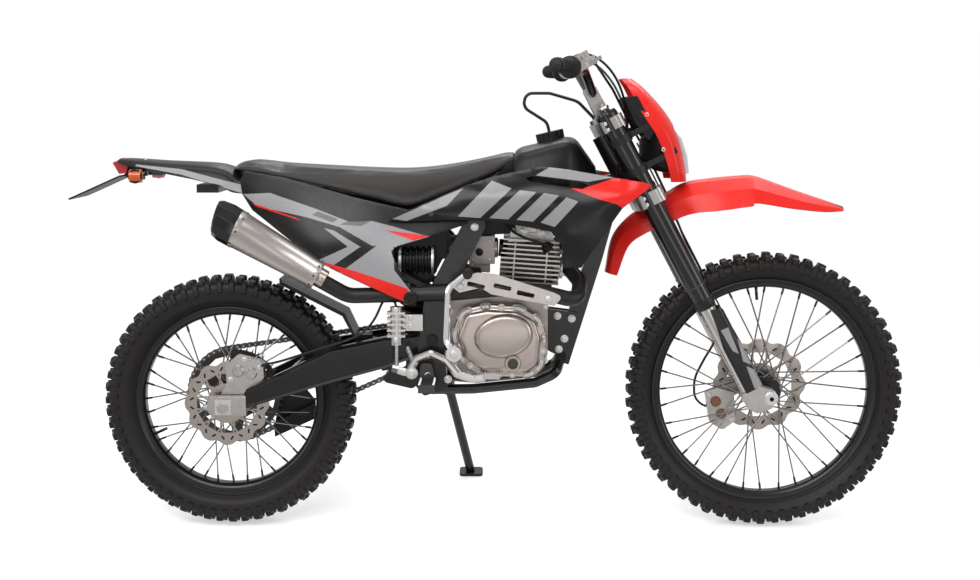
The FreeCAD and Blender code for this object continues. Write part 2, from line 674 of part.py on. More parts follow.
def frame():
    """Single downtube and twin cradle, with a backbone, uprights and the head tube."""
    whole = []
    low, high = LOWER_CLAMP + LOWER_CLAMP_H + STEM_GAP, UPPER_CLAMP - STEM_GAP
    whole.append(rod(steering_axis_point(low), steering_axis_point(high), HEAD_TUBE_R))
    square = [(-17, -20), (17, -20), (17, 20), (-17, 20)]
    downtube = [fork_point(-46, 0, low + 54), V(along_body(925), 0, 690), V(along_body(880), 0, 545),
                V(along_body(842), 0, 420)]
    whole.append(tube(downtube, 0, 80, 0, square))
    whole.append(tube(backbone_points(), 0, 80, 0, square))
    for side in (1, -1):
        y = side * 72
        cradle = [V(along_body(843), side * 10, 440), V(along_body(828), y, 402), V(along_body(776), y, 378),
                  V(622, y, 362), V(516, side * 102, 366)]
        whole.append(tube(cradle, CRADLE_R, 30, 8))
        mount = [(807, 558, 4), (884, 548, 6), (858, 468, 6), (840, 436, 6), (807, 452, 8)]
        near, far = sorted((side * 16, side * 26))
        whole.append(slab([(along_body(x), z, r) for x, z, r in mount], near, far))
        upright = [(604, 790, 8), (652, 790, 8), (652, 770, 20), (562, 590, 40), (548, 500, 20), (560, 372, 8),
                   (500, 352, 10), (478, 380, 10), (486, 470, 20), (502, 590, 40)]
        inner, outer = FRAME_HALF - UPRIGHT_W / 2, FRAME_HALF + UPRIGHT_W / 2
        whole.append(slab(upright, min(side * inner, side * outer), max(side * inner, side * outer)))
    whole.append(rod(V(628, -FRAME_HALF, 772), V(628, FRAME_HALF, 772), 14))
    whole.append(rod(V(530, -FRAME_HALF, 376), V(530, FRAME_HALF, 376), 11))
    body = fuse(whole)
    body = body.cut(rod(steering_axis_point(low - 5), steering_axis_point(high + 5), STEM_R + 1.0))
    body = body.cut(rod(V(PIVOT_X, -200, PIVOT_Z), V(PIVOT_X, 200, PIVOT_Z), PIVOT_BOLT_R))
    bracket = rod(stand_pin(-28), stand_pin(-12.6), 18)
    shelf = box(STAND_X - 14, STAND_X + 14, FRAME_HALF - 10, STAND_Y - 20, STAND_Z - 4, STAND_Z + 46)
    return fuse([body, bracket, shelf, rod(stand_pin(-13), stand_pin(16), STAND_PIN_R)])


def stand_axis():
    """Square to the leg, so that the leg swings back beside the swingarm."""
    foot = ground_at(STAND_X + FOOT_FORWARD, FOOT_OUT)
    return unit(V(0, STAND_Z - foot.z, foot.y - STAND_Y))


def stand_pin(along):
    return V(STAND_X, STAND_Y, STAND_Z) + stand_axis() * along


def lean_drop():
    """How far the lean lowers the edge of the tyres' middle lugs."""
    return MIDDLE_LUG_HALF * math.sin(math.radians(LEAN))


def ground_at(x, y):
    """Point of the ground, under the leaning bike, in the upright bike frame."""
    a = math.radians(LEAN)
    return V(x, y, (y * math.sin(a) - lean_drop()) / math.cos(a))


def side_stand():
    foot = ground_at(STAND_X + FOOT_FORWARD, FOOT_OUT)
    up = V(0, -math.sin(math.radians(LEAN)), math.cos(math.radians(LEAN)))
    head = rod(stand_pin(-12), stand_pin(12), 18)
    ankle = foot + up * FOOT_T
    leg = rod(stand_pin(0), ankle, STAND_LEG_R)
    pad = slab([(-30, -24, 10), (34, -24, 10), (34, 24, 10), (-30, 24, 10)], 0, FOOT_T, "xy")
    pad.Placement = FreeCAD.Placement(foot, FreeCAD.Rotation(V(1, 0, 0), LEAN))
    return fuse([head, leg, pad]).cut(rod(stand_pin(-30), stand_pin(30), STAND_PIN_R + AXLE_FIT))


def subframe():
    whole = []
    for side in (1, -1):
        y = side * 88
        whole.append(tube([V(628, side * 92, 776), V(470, y, 800), V(250, y, 835), V(-20, side * 70, 882)], 11, 60, 8))
        whole.append(tube([V(534, side * 92, 610), V(470, side * 92, 640), V(200, y, 800), V(120, y, 846)], 10, 60, 8))
        whole.append(tube([V(-20, side * 70, 882), V(-150, side * 50, 906), V(-200, side * 40, 912)], 8, 60, 8))
    for x, z in ((470, 800), (250, 835), (60, 868), (-150, 905)):
        reach = 88 if x > 100 else 66 if x > 0 else 50
        whole.append(rod(V(x, -reach, z), V(x, reach, z), 8))
    whole.append(box(-62, -8, -72, 72, 852, 872))
    for x, y, z, top in ((-25, 34, 880, 916), (-199, 22, 905, 928)):
        for side in (1, -1):
            whole.append(rod(V(x, side * y, z - 14), V(x, side * y, top), 5))
            whole.append(rod(V(x, side * y - 16, z), V(x, side * y + 16, z), 5))
    return fuse(whole)


def swingarm():
    whole = []
    stations = [(542, 470, 509, 58, 90), (470, 440, 502, 58, 90), (400, 416, 494, 64, 98), (271, 383, 469, 86, 114),
                (57, 318, 365, 88, 116)]
    for side in (1, -1):
        outlines = []
        for x, low, high, near, far in stations:
            c = 8.0
            outlines.append([V(x, side * near, low), V(x, side * (far - c), low), V(x, side * far, low + c),
                             V(x, side * far, high - c), V(x, side * (far - c), high), V(x, side * near, high)])
        whole.append(loft(outlines))
    whole.append(rod(V(PIVOT_X, -90, PIVOT_Z), V(PIVOT_X, 90, PIVOT_Z), 17))
    whole.append(box(345, 420, -80, 80, 425, 478))
    whole.append(slab([(372, 430), (420, 440), (412, 400), (388, 396)], -16, 16))
    return fuse(whole).cut(rod(V(PIVOT_X, -200, PIVOT_Z), V(PIVOT_X, 200, PIVOT_Z), PIVOT_BOLT_R))


def pivot_bolt():
    return fuse([rod(V(PIVOT_X, -128, PIVOT_Z), V(PIVOT_X, 128, PIVOT_Z), PIVOT_BOLT_R),
                 prism(V(PIVOT_X, -133, PIVOT_Z), V(PIVOT_X, -121, PIVOT_Z), 15, 6),
                 prism(V(PIVOT_X, 121, PIVOT_Z), V(PIVOT_X, 133, PIVOT_Z), 15, 6)])


def shock():
    """Spring and damper in the middle, with its lower link arm."""
    low, high = V(462, 0, 520), V(500, 0, 720)
    axis = unit(high - low)
    profile = [(0, 0.1), (0, 16), (12, 16), (12, 38)]
    length = (high - low).Length
    coils = 7
    span = (length - 40) / coils
    for k in range(coils):
        profile += [(14 + span * k, 26), (14 + span * (k + 0.3), 40), (14 + span * (k + 0.7), 40)]
    profile += [(length - 22, 40), (length - 14, 40), (length - 14, 14), (length, 14), (length, 0.1)]
    body = lathe(profile, low, axis)
    link = slab([(384, 372, 12), (470, 352, 14), (484, 380, 12), (404, 398, 10)], -30, 30)
    rocker = slab([(448, 378, 8), (480, 392, 12), (486, 530, 12), (452, 530, 12)], -24, 24)
    return fuse([body, link, rocker])


def engine_cases():
    right = slab([(560, 590, 16), (700, 606, 20), (806, 586, 16), (806, 450, 30), (780, 402, 16), (600, 398, 20),
                  (566, 440, 20)], -96, 50)
    left = slab([(668, 604, 12), (806, 586, 16), (806, 450, 30), (780, 402, 16), (680, 400, 12), (664, 500, 20)],
                -90, 96)
    generator = rod(V(735, 96, 505), V(735, 116, 505), 66)
    front = chain_layout()[0]
    shaft = rod(V(front.x, 45, front.z), V(front.x, 80, front.z), 11)
    hub_disc = rod(V(front.x, CHAIN_Y - 2.7, front.z), V(front.x, CHAIN_Y + 2.7, front.z), 25)
    cover = slab([(560, 548, 20), (640, 560, 20), (680, 545), (680, 450), (620, 432, 20), (560, 450, 20)], 84, 90)
    return fuse([right, left, generator, shaft, hub_disc, cover])


def engine_cylinder():
    """Finned cylinder and head with its rocker cover, intake neck and exhaust port, leaning forward."""
    whole = [box(-58, 58, -50, 50, 6, 136), box(-54, 54, -46, 46, 134, 150), box(-42, 42, -40, 40, 150, 170),
             rod(V(-80, 4, 103), V(-40, 4, 103), 22), rod(V(40, -6, 64), V(84, -6, 64), 25)]
    for x in (-26, 26):
        whole.append(rod(V(x, -54, 152), V(x, 54, 152), 15))
    for k in range(FIN_COUNT):
        reach = 74 if k < 7 else 70
        z = 26 + k * FIN_PITCH
        whole.append(box(-reach, reach, -66, 66, z, z + FIN_T))
    body = fuse(whole)
    body.Placement = FreeCAD.Placement(V(757, -4, 602), FreeCAD.Rotation(V(0, 1, 0), CYLINDER_TILT))
    return body


def clutch_cover():
    case = slab([(568, 505, 40), (592, 570, 30), (650, 586, 30), (740, 581, 40), (790, 550, 30), (804, 500, 30),
                 (796, 430, 30), (765, 404, 24), (640, 404, 30), (585, 450, 30)], -138, -96)
    step = slab([(584, 506, 34), (604, 558, 26), (652, 572, 26), (736, 567, 34), (778, 541, 26), (789, 500, 26),
                 (782, 438, 24), (758, 418, 20), (644, 418, 24), (600, 457, 24)], -145, -137)
    cap = slab([(638, 500, 34), (660, 562, 30), (712, 570, 34), (752, 530, 30), (746, 474, 30), (692, 454, 30),
                (650, 464, 24)], -158, -144)
    plug = rod(V(720, -160, 440), V(720, -140, 440), 15)
    return fuse([case, step, cap, plug])


def carburettor():
    body = box(610, 674, -34, 34, 672, 742)
    bowl = box(622, 662, -26, 26, 650, 672)
    intake = rod(V(674, 0, 710), V(682.6, 0, 710), 22)
    rear_boot = rod(V(556.5, 0, 711), V(610, 0, 711), 32)
    return fuse([body, bowl, intake, rear_boot])


def airbox():
    """Filter box, with the ribbed outlet that shows behind the right upright."""
    body = slab([(330, 712, 20), (470, 735, 20), (556, 680, 10), (556, 752, 20), (596, 846, 10), (340, 846, 20)],
                -72, 72)
    profile = [(0, 0.1), (0, 34)]
    for k in range(6):
        profile += [(4 + 15 * k, 34), (7 + 15 * k, 28), (12 + 15 * k, 28), (15 + 15 * k, 34)]
    profile += [(92, 34), (92, 0.1)]
    outlet = lathe(profile, V(436, -78, 686), V(1, 0, 0))
    return fuse([body, outlet])


def pipe_points():
    return [V(838, -10, 660), V(862, -28, 658), V(886, -76, 632), V(878, -132, 592), V(800, -140, 612),
            V(690, -146, 624), V(560, -146, 612), V(428, -142, 608), V(318, -148, 606), V(236, -170, 656)]


def exhaust_pipe():
    return tube(pipe_points(), PIPE_R, 60, 12)


def heat_shield():
    outline = [(820, 585, 8), (840, 607, 8), (818, 618, 8), (678, 662, 30), (632, 666, 16), (584, 648, 8),
               (575, 630, 8), (590, 617, 6), (642, 629, 16), (668, 613, 16)]
    plate = slab(outline, -172, -168)
    lip = slab([(668, 613), (820, 585), (822, 588), (669, 616)], -172, -160)
    for x, z in ((608, 640), (672, 636), (728, 619)):
        plate = plate.cut(slab([(x, z - 6, 3), (x + 42, z - 15, 3), (x + 45, z - 5, 3), (x + 3, z + 5, 3)], -180, -160))
    posts = [rod(V(x, -176, z), V(x, -146, z), 6) for x, z in ((592, 632), (806, 602))]
    return fuse([plate, lip] + posts)


def silencer():
    front, rear = V(236, -170, 656), V(22, -176, 798)
    axis = unit(rear - front)
    length = (rear - front).Length
    profile = [(2, 18), (2, 26), (10, 29), (length - 26, 45), (length - 22, 46), (length - 6, 46), (length + 16, 34),
               (length + 16, 18), (length - 14, 18), (length - 14, 0.1), (30, 0.1), (30, 18)]
    return lathe(profile, front, axis)


def fuel_tank():
    def section(x, low, high, half):
        right = [(half * 0.72, low), (half, low + (high - low) * 0.35), (half * 0.96, low + (high - low) * 0.7),
                 (half * 0.62, high - 10), (half * 0.3, high - 1)]
        return [V(x, -y, z) for y, z in right] + [V(x, y, z) for y, z in right[::-1]]
    stations = [(654, 826, 884, 66), (706, 812, 892, 92), (728, 806, 956, 108), (779, 794, 973, 122),
                (850, 800, 989, 114), (874, 806, 984, 98), (900, 816, 952, 74), (926, 830, 916, 52)]
    shell = loft([section(along_body(x), low, high, half) for x, low, high, half in stations])
    over = [V(p.x, 0, p.z + 26) for p in backbone_points()]
    tunnel = slab([(over[0].x, over[0].z), (over[1].x, over[1].z), (over[2].x, over[2].z), (640, 760),
                   (over[0].x, 760)], -24, 24)
    return shell.cut(tunnel).cut(rod(cap_point(-4), cap_point(40), CAP_R + 0.5))


def cap_point(up):
    tilt = math.radians(13)
    return V(along_body(814) - math.sin(tilt) * up, 0, 981 + math.cos(tilt) * up)


def fuel_cap():
    """Screw cap with finger scallops round its edge."""
    axis = unit(cap_point(1) - cap_point(0))
    scallops = []
    for k in range(10):
        turn = FreeCAD.Rotation(axis, 36.0 * k)
        at = turn.multVec(V(0, CAP_R + 5, 0))
        scallops.append(rod(cap_point(6) + at, cap_point(24) + at, 8))
    return rod(cap_point(-4), cap_point(20), CAP_R).cut(Part.makeCompound(scallops))


def seat():
    def section(x, low, high, half):
        right = [(half - 15, low), (half, low), (half * 0.97, low + (high - low) * 0.6), (half * 0.78, high - 7),
                 (half * 0.42, high - 1)]
        inner = [(half - 17, min(high - 34, low + (high - low) * 0.75))]
        outer = [V(x, -y, z) for y, z in right] + [V(x, y, z) for y, z in right[::-1]]
        return outer + [V(x, y, z) for y, z in inner] + [V(x, -y, z) for y, z in inner]
    stations = [(24, 908, 916, 50), (50, 905, 929, 76), (160, 886, 920, 100), (276, 862, 913, 116),
                (380, 838, 909, 124), (467, 820, 908, 124), (536, 842, 914, 108), (620, 878, 928, 88),
                (690, 908, 944, 74), (724, 926, 953, 62)]
    return loft([section(along_body(x), low, high, half) for x, low, high, half in stations])


SHROUD = [(415, 788, 796, 154), (520, 789, 838, 158), (661, 787, 892, 156), (720, 780, 906, 159),
          (788, 766, 921, 164), (832, 738, 917, 170), (842, 677, 915, 172), (880, 677, 908, 176),
          (970, 798, 893, 180), (1050, 872, 880, 178)]


def shrouds():
    stations = []
    for station, low, high, out in SHROUD:
        x, rise = along_body(station), high - low
        stations.append([(x, -out + 10, low), (x, -out, low + rise * 0.3), (x, -out, low + rise * 0.62),
                         (x, -out + min(34, rise * 0.3), high)])
    right = side_skin(stations, SKIN_T)
    boss = box(along_body(817) - 9, along_body(817) + 9, -165, -100, 838, 854)
    right = fuse([right, boss])
    return Part.makeCompound(both(right))


PANEL = [(56, 846, 902, 112, 104), (84, 809, 896, 124, 108), (253, 686, 858, 170, 124), (423, 605, 820, 170, 132),
         (456, 595, 812, 172, 132), (480, 600, 812, 172, 132), (614, 640, 838, 146, 124)]


def side_panels():
    stations = []
    for x, low, high, out_low, out_high in PANEL:
        rise = high - low
        stations.append([(x, -out_low + 4, low), (x, -out_low, low + rise * 0.12),
                         (x, -0.35 * out_low - 0.65 * out_high, low + rise * 0.7), (x, -out_high, high)])
    right = side_skin(stations, SKIN_T)
    notch = slab([(481, 580), (473, 635), (424, 717), (519, 751), (608, 779), (640, 779), (640, 560)], -220, -60)
    above = slab([(540, 842), (500, 824), (612, 790), (640, 790), (640, 900)], -220, -60)
    right = right.cut(notch).cut(above)
    tab = box(238, 262, -129, -92, 828, 840)
    return Part.makeCompound(both(fuse([right, tab])))


def rear_fender():
    stations = [
        ((100, 868), [(96, 20), (66, 4)]),
        ((46, 890), [(92, 40), (66, 6)]),
        ((24, 907), [(90, 43), (62, 6)]),
        ((0, 916), [(89, 44), (60, 6)]),
        ((-25, 920), [(88, 44), (56, 5)]),
        ((-145, 926), [(72, 24), (46, 4)]),
        ((-225, 931), [(56, 16), (34, 3)]),
        ((-265, 932), [(40, 8), (22, 2)])]
    return arched(stations, 4.0)


def tail_lamp():
    return slab([(-256, 934), (-280, 924), (-264, 896), (-246, 898), (-238, 934)], -30, 30)


def plate_point(along, across, up):
    """Place on the number plate's carrier, counted from its front top edge."""
    run = unit(V(-128, 0, -57))
    square = V(run.z, 0, -run.x)
    return V(-250, across, 895) + run * along + square * up


def plate_bracket():
    corners = [plate_point(0, -85, 0), plate_point(140, -85, 0), plate_point(140, -85, -PLATE_T),
               plate_point(0, -85, -PLATE_T)]
    plate = Part.Face(Part.makePolygon(corners + corners[:1])).extrude(V(0, 170, 0))
    arm = slab([(-236, 914), (-212, 914), (-212, 880), (-240, 884), (-254, 893)], -26, 26)
    body = fuse([plate, arm])
    for y in (-PLATE_HOLES / 2, PLATE_HOLES / 2):
        body = body.cut(rod(plate_point(70, y, -20), plate_point(70, y, 20), PLATE_HOLE_R))
    return body


def indicators():
    whole = []
    for side in (1, -1):
        stalk = rod(V(-200, side * 46, 903), V(-200, side * 104, 896), 5)
        lamp = rod(V(-186, side * 118, 895), V(-214, side * 118, 895), 16)
        whole.append(fuse([stalk, lamp]))
    return Part.makeCompound(whole)


def foot_pegs():
    whole = []
    for side in (1, -1):
        lo, hi = sorted((side * 128, side * 228))
        tread = box(492, 532, lo, hi, 380, 400)
        mid = sorted((side * 121, side * 150))
        bracket = slab([(494, 440, 6), (520, 440, 8), (530, 400, 6), (530, 376, 4), (492, 376, 4)], *mid)
        whole.append(fuse([tread, bracket]))
    return Part.makeCompound(whole)


def brake_pedal():
    y = -166
    run = [(440, 426), (466, 418), (484, 452), (520, 467), (556, 450), (584, 416), (622, 404), (652, 408)]
    arm = tube([V(x, y, z) for x, z in run], 10, 14, 8)
    boss = rod(V(474, -121, 420), V(474, -176, 420), 15)
    toe = box(648, 688, y - 16, y + 12, 406, 420)
    return fuse([arm, boss, toe])


def gear_lever():
    y = 140
    shaft = rod(V(612, 50, 440), V(612, y + 10, 440), 10)
    arm = tube([V(612, y, 440), V(660, y, 452), V(720, y, 442)], 7, 20, 8)
    toe = rod(V(720, y - 12, 442), V(720, y + 34, 442), 8)
    return fuse([shaft, arm, toe])


def kick_start():
    shaft = rod(V(577, -96, 470), V(577, -190, 470), 10)
    lever = tube([V(577, -182, 470), V(558, -182, 500), V(564, -186, 630), V(612, -190, 668)], 8, 30, 8)
    pedal = rod(V(612, -176, 668), V(612, -240, 668), 9)
    boss = rod(V(577, -168, 470), V(577, -196, 470), 19)
    return fuse([shaft, lever, pedal, boss])


def chain_guide():
    outer = slab([(100, 214), (204, 262), (204, 300), (160, 356), (120, 352), (98, 246)], 84, 88)
    floor = slab([(100, 214), (204, 262), (204, 256), (100, 208)], 55, 88)
    inner = slab([(100, 214), (204, 262), (202, 296), (98, 246)], 55, 59)
    return fuse([outer, floor, inner])


def rear_caliper():
    body = slab([(4, 372, 8), (60, 360, 8), (98, 388, 10), (96, 430, 12), (30, 446, 12), (2, 420, 10)],
                REAR_DISC_Y - 20, REAR_DISC_Y + 14)
    slot = rod(V(0, REAR_DISC_Y - 5, REAR_R), V(0, REAR_DISC_Y + 5, REAR_R), REAR_DISC_R + 4)
    arm = slab([(-22, 330), (18, 300), (60, 372), (20, 400)], REAR_DISC_Y - 20, REAR_DISC_Y - 8)
    return fuse([body, arm]).cut(slot).cut(rod(V(0, -200, REAR_R), V(0, 0, REAR_R), REAR_AXLE_R))


def rear_master_cylinder():
    barrel = rod(V(436, -152, 486), V(436, -152, 580), 15)
    fins = [box(414, 458, -168, -136, 506 + 14 * k, 512 + 14 * k) for k in range(5)]
    rod_part = rod(V(436, -152, 434), V(436, -152, 490), 5)
    bracket = box(452, 500, -150, -121, 520, 560)
    return fuse([barrel, rod_part, bracket] + fins)


def rear_axle():
    shaft = rod(V(0, -124, REAR_R), V(0, 124, REAR_R), REAR_AXLE_R)
    whole = [shaft, prism(V(0, 116, REAR_R), V(0, 132, REAR_R), 15, 6), prism(V(0, -132, REAR_R), V(0, -116, REAR_R), 15, 6)]
    for side in (1, -1):
        lo, hi = sorted((side * 90, side * 116))
        whole.append(slab([(56.9, 348), (56.9, 300), (-32, 300), (-42, 316), (-34, 348)], lo, hi))
    return fuse(whole)


def vent_hose():
    end = steering_axis_point(UPPER_CLAMP + UPPER_CLAMP_H + 14)
    loop = [V(along_body(x), 0, z) for x, z in ((744, 1062), (752, 1096), (810, 1096), (880, 1076))]
    return tube([cap_point(20), cap_point(44)] + loop + [end], 4.0, 40, 8)


def mud_flap():
    flap = slab([(137, 622), (293, 542), (321, 487), (327, 489), (299, 549), (142, 629), (141, 637), (136, 637)],
                -57, 57)
    return fuse([flap, box(320, 362, -20, 20, 470, 490)])


def front_centre():
    return V(WHEELBASE, 0, FRONT_R)


def rear_centre():
    return V(0, 0, REAR_R)


def all_pieces():
    front, rear = front_centre(), rear_centre()
    layout = chain_layout()
    pieces = {
        "frame": frame(), "subframe": subframe(), "swingarm": swingarm(), "pivot_bolt": pivot_bolt(),
        "shock": shock(), "engine_cases": engine_cases(), "engine_cylinder": engine_cylinder(),
        "clutch_cover": clutch_cover(), "carburettor": carburettor(), "airbox": airbox(),
        "exhaust_pipe": exhaust_pipe(), "heat_shield": heat_shield(), "silencer": silencer(),
        "fuel_tank": fuel_tank(), "fuel_cap": fuel_cap(), "seat": seat(), "shrouds": shrouds(),
        "side_panels": side_panels(), "rear_fender": rear_fender(), "tail_lamp": tail_lamp(),
        "plate_bracket": plate_bracket(), "indicators": indicators(), "foot_pegs": foot_pegs(),
        "brake_pedal": brake_pedal(), "gear_lever": gear_lever(), "kick_start": kick_start(), "chain": chain(),
        "chain_guide": chain_guide(), "rear_caliper": rear_caliper(),
        "rear_master_cylinder": rear_master_cylinder(), "rear_axle": rear_axle(), "vent_hose": vent_hose(),
        "mud_flap": mud_flap(), "side_stand": side_stand(),
        "triple_clamps": triple_clamps(), "fork_outer_tubes": fork_outer_tubes(), "fork_legs": fork_legs(),
        "fork_guards": fork_guards(), "handlebar": handlebar(), "grips": grips(), "hand_controls": hand_controls(),
        "headlamp_mask": headlamp_mask(), "headlamp_lens": headlamp_lens(), "front_fender": front_fender(),
        "mask_straps": mask_straps(), "front_caliper": front_caliper(), "brake_hose": brake_hose(), "front_axle": front_axle(),
        "front_tyre": tyre(FRONT_R, FRONT_TYRE_HALF, FRONT_RIM_R, FRONT_RIM_HALF, FRONT_LUGS, 10.0, 8.0, front),
        "front_rim": rim(FRONT_RIM_R, FRONT_RIM_HALF, front),
        "front_spokes": spokes(FRONT_RIM_R, 40.0, 34.0, 5.0, front),
        "front_hub": hub(22.0, 40.0, 34.0, [(-58, 26), (FRONT_DISC_Y - DISC_T / 2, 30)], FRONT_AXLE_R + AXLE_FIT, front),
        "front_disc": disc(FRONT_DISC_R, FRONT_DISC_Y, 30.0, front),
        "rear_tyre": tyre(REAR_R, REAR_TYRE_HALF, REAR_RIM_R, REAR_RIM_HALF, REAR_LUGS, 10.0, 8.0, rear),
        "rear_rim": rim(REAR_RIM_R, REAR_RIM_HALF, rear),
        "rear_spokes": spokes(REAR_RIM_R, 46.0, 34.0, 6.0, rear),
        "rear_hub": hub(28.0, 46.0, 34.0, [(REAR_DISC_Y + DISC_T / 2, 32), (CHAIN_Y - SPROCKET_T / 2, 36)],
                        REAR_AXLE_R + AXLE_FIT, rear),
        "rear_disc": disc(REAR_DISC_R, REAR_DISC_Y, 30.0, rear),
        "rear_sprocket": sprocket(REAR_TEETH, layout[1], 30.0, 6, rear + V(0, CHAIN_Y, 0)),
    }
    return pieces


TRIMMED = {
    "airbox": ("shock", "subframe"), "subframe": ("frame",), "chain_guide": ("swingarm",),
    "clutch_cover": ("kick_start",), "exhaust_pipe": ("silencer", "engine_cylinder"), "fuel_tank": ("seat",),
    "plate_bracket": ("tail_lamp", "rear_fender", "subframe"),
    "rear_fender": ("seat", "subframe"), "side_panels": ("rear_fender", "subframe"),
    "shrouds": ("fuel_tank",), "front_caliper": ("fork_guards",),
    "front_fender": ("headlamp_mask", "triple_clamps", "mask_straps"), "headlamp_mask": ("mask_straps",),
    "indicators": ("subframe", "rear_fender"), "heat_shield": ("exhaust_pipe",), "fork_guards": ("fork_legs",),
    "mud_flap": ("swingarm",), "tail_lamp": ("rear_fender", "subframe"), "engine_cases": ("gear_lever",)}


def park(shape):
    """Leans a piece onto the side stand and puts the origin under the middle of the footprint."""
    shape = shape.copy()
    shape.rotate(V(0, 0, 0), V(1, 0, 0), -LEAN)
    shape.translate(V(-FOOTPRINT_X, -FOOTPRINT_Y, lean_drop()))
    return shape


os.makedirs("parts", exist_ok=True)
pieces = all_pieces()
for name, neighbours in TRIMMED.items():
    for neighbour in neighbours:
        pieces[name] = pieces[name].cut(pieces[neighbour])
for name, piece in pieces.items():
    park(piece).exportStep("parts/" + name + ".step")
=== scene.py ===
import functools
import math

import bmesh
import bpy
import numpy as np
from bpy.props import FloatProperty, FloatVectorProperty, IntProperty, PointerProperty
from mathutils import Matrix, Vector, geometry


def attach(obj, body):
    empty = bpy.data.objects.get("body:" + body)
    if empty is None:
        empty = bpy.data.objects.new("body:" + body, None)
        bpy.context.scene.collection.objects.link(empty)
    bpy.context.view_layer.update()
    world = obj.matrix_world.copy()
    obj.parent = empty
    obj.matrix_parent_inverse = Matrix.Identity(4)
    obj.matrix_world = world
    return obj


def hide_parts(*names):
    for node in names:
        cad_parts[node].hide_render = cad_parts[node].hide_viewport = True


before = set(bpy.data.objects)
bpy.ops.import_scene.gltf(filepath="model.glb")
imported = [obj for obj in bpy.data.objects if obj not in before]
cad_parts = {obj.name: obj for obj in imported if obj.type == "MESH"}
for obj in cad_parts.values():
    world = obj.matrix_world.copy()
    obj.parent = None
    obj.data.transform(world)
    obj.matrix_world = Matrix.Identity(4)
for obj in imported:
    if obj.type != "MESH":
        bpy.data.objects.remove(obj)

bl_info = {
    "name": "Dual Sport Motorcycle",
    "version": (1, 0, 0),
    "blender": (4, 5, 0),
    "location": "View3D > Sidebar > Motorcycle",
    "description": "Dresses the motorcycle's solids with their finished surfaces",
    "category": "Object",
}

# Upright bike frame in mm: x forward from the rear axle, y left, z up. parked() takes it to the shared frame.
LEAN = math.radians(10.0)
FOOTPRINT = (664.0, 200.6)
LEAN_DROP = 14.0 * math.sin(LEAN)
SIDES = (1, -1)
RIGHT = (0, -1, 0)
LEFT = (0, 1, 0)
UP = (0, 0, 1)
WHEELBASE = 1356.0
FRONT_R = 350.0
REAR_R = 321.0
RAKE = math.radians(28.0)
AXLE_LEAD = 37.0
FORK_HALF = 105.0
CHAIN_Y = 68.0
PITCH = 15.875
REAR_TEETH = 48
FRONT_TEETH = 13
LINKS = 110
CHAIN_RISE = math.radians(16.3)
FRONT_CENTRE = (WHEELBASE, 0.0, FRONT_R)
REAR_CENTRE = (0.0, 0.0, REAR_R)
RIM_DEPTH = 22.0
SPOKES = 36
# A direction that no piece runs along, to start a square pair of directions from
SKEW = (0.31, 0.47, 0.83)

# Tyre and rim as (radius, half width), flange's radius, the nipples' distance from the middle plane, the
# valve's angle in degrees, and disc as (radius, y)
WHEELS = {
    "front": {"centre": FRONT_CENTRE, "tyre": (FRONT_R, 43.0), "rim": (284.0, 22.0),
              "flange": 40.0, "spoke_row": 5.0, "valve": -5.0, "disc": (119.0, 60.0)},
    "rear": {"centre": REAR_CENTRE, "tyre": (REAR_R, 52.0), "rim": (240.0, 28.0),
             "flange": 46.0, "spoke_row": 6.0, "valve": -115.0, "disc": (107.0, -64.0)},
}
FLANGE_Y = 34.0
LACING = math.radians(60.0)
DISC_SEAT_R = 31.0
DISC_HALF = 2.0
LUG_HEIGHT = 14.5
# Chain: half height of a link plate, the plates' faces on inner and outer links, the rollers and the pins
LINK_HALF = 6.5
INNER_PLATE = (3.6, 5.7)
OUTER_PLATE = (5.9, 8.0)
ROLLER_R = 4.6
ROLLER_HALF = 3.5
PIN_R = 2.6
PIN_HALF = 8.2
# The cloth pass may move a point of the seat by this much, in metres
MOST_SWELL = 0.005


def parked(points):
    """Turns the upright frame about x by the lean, moves it to the footprint's middle, and mm to metres."""
    p = np.asarray(points, float).reshape(-1, 3)
    c, s = math.cos(LEAN), math.sin(LEAN)
    x = p[:, 0] - FOOTPRINT[0]
    y = p[:, 1] * c + p[:, 2] * s - FOOTPRINT[1]
    z = p[:, 2] * c - p[:, 1] * s + LEAN_DROP
    return np.stack([x, y, z], 1) * 0.001


def leaned(v):
    """A direction of the upright frame, turned by the lean."""
    c, s = math.cos(LEAN), math.sin(LEAN)
    return (v[0], v[1] * c + v[2] * s, v[2] * c - v[1] * s)


def fork(points):
    """Points (ahead, lateral, up) of the fork's own frame, turned back by the rake about the axle's lead."""
    p = np.asarray(points, float).reshape(-1, 3)
    c, s = math.cos(RAKE), math.sin(RAKE)
    ahead = p[:, 0] - AXLE_LEAD
    return np.stack([WHEELBASE + ahead * c - p[:, 2] * s, p[:, 1], FRONT_R + ahead * s + p[:, 2] * c], 1)


def fork_at(*place):
    return fork([place])[0]


# Surfaces, as (vertices, faces) with lists of vertex numbers for faces, and what they are made with

def grid_faces(rows, columns, loop_rows=False, loop_columns=False):
    """Faces between neighbouring rows and columns of a grid; a loop joins its last line to its first."""
    r = np.arange(rows if loop_rows else rows - 1)
    c = np.arange(columns if loop_columns else columns - 1)
    a, b = np.meshgrid(r, c, indexing="ij")
    a2, b2 = (a + 1) % rows, (b + 1) % columns
    return np.stack([a * columns + b, a * columns + b2, a2 * columns + b2, a2 * columns + b], -1).reshape(
        -1, 4)


def ringed(rings, loop=False):
    """Closed body through rings of points: faces join ring to ring, and a flat cap closes each end."""
    rings = np.asarray(rings, float)
    n, m = rings.shape[:2]
    faces = grid_faces(n, m, loop, True).tolist()
    if not loop:
        faces += [list(range(m)), list(range((n - 1) * m, n * m))]
    return rings.reshape(-1, 3), faces


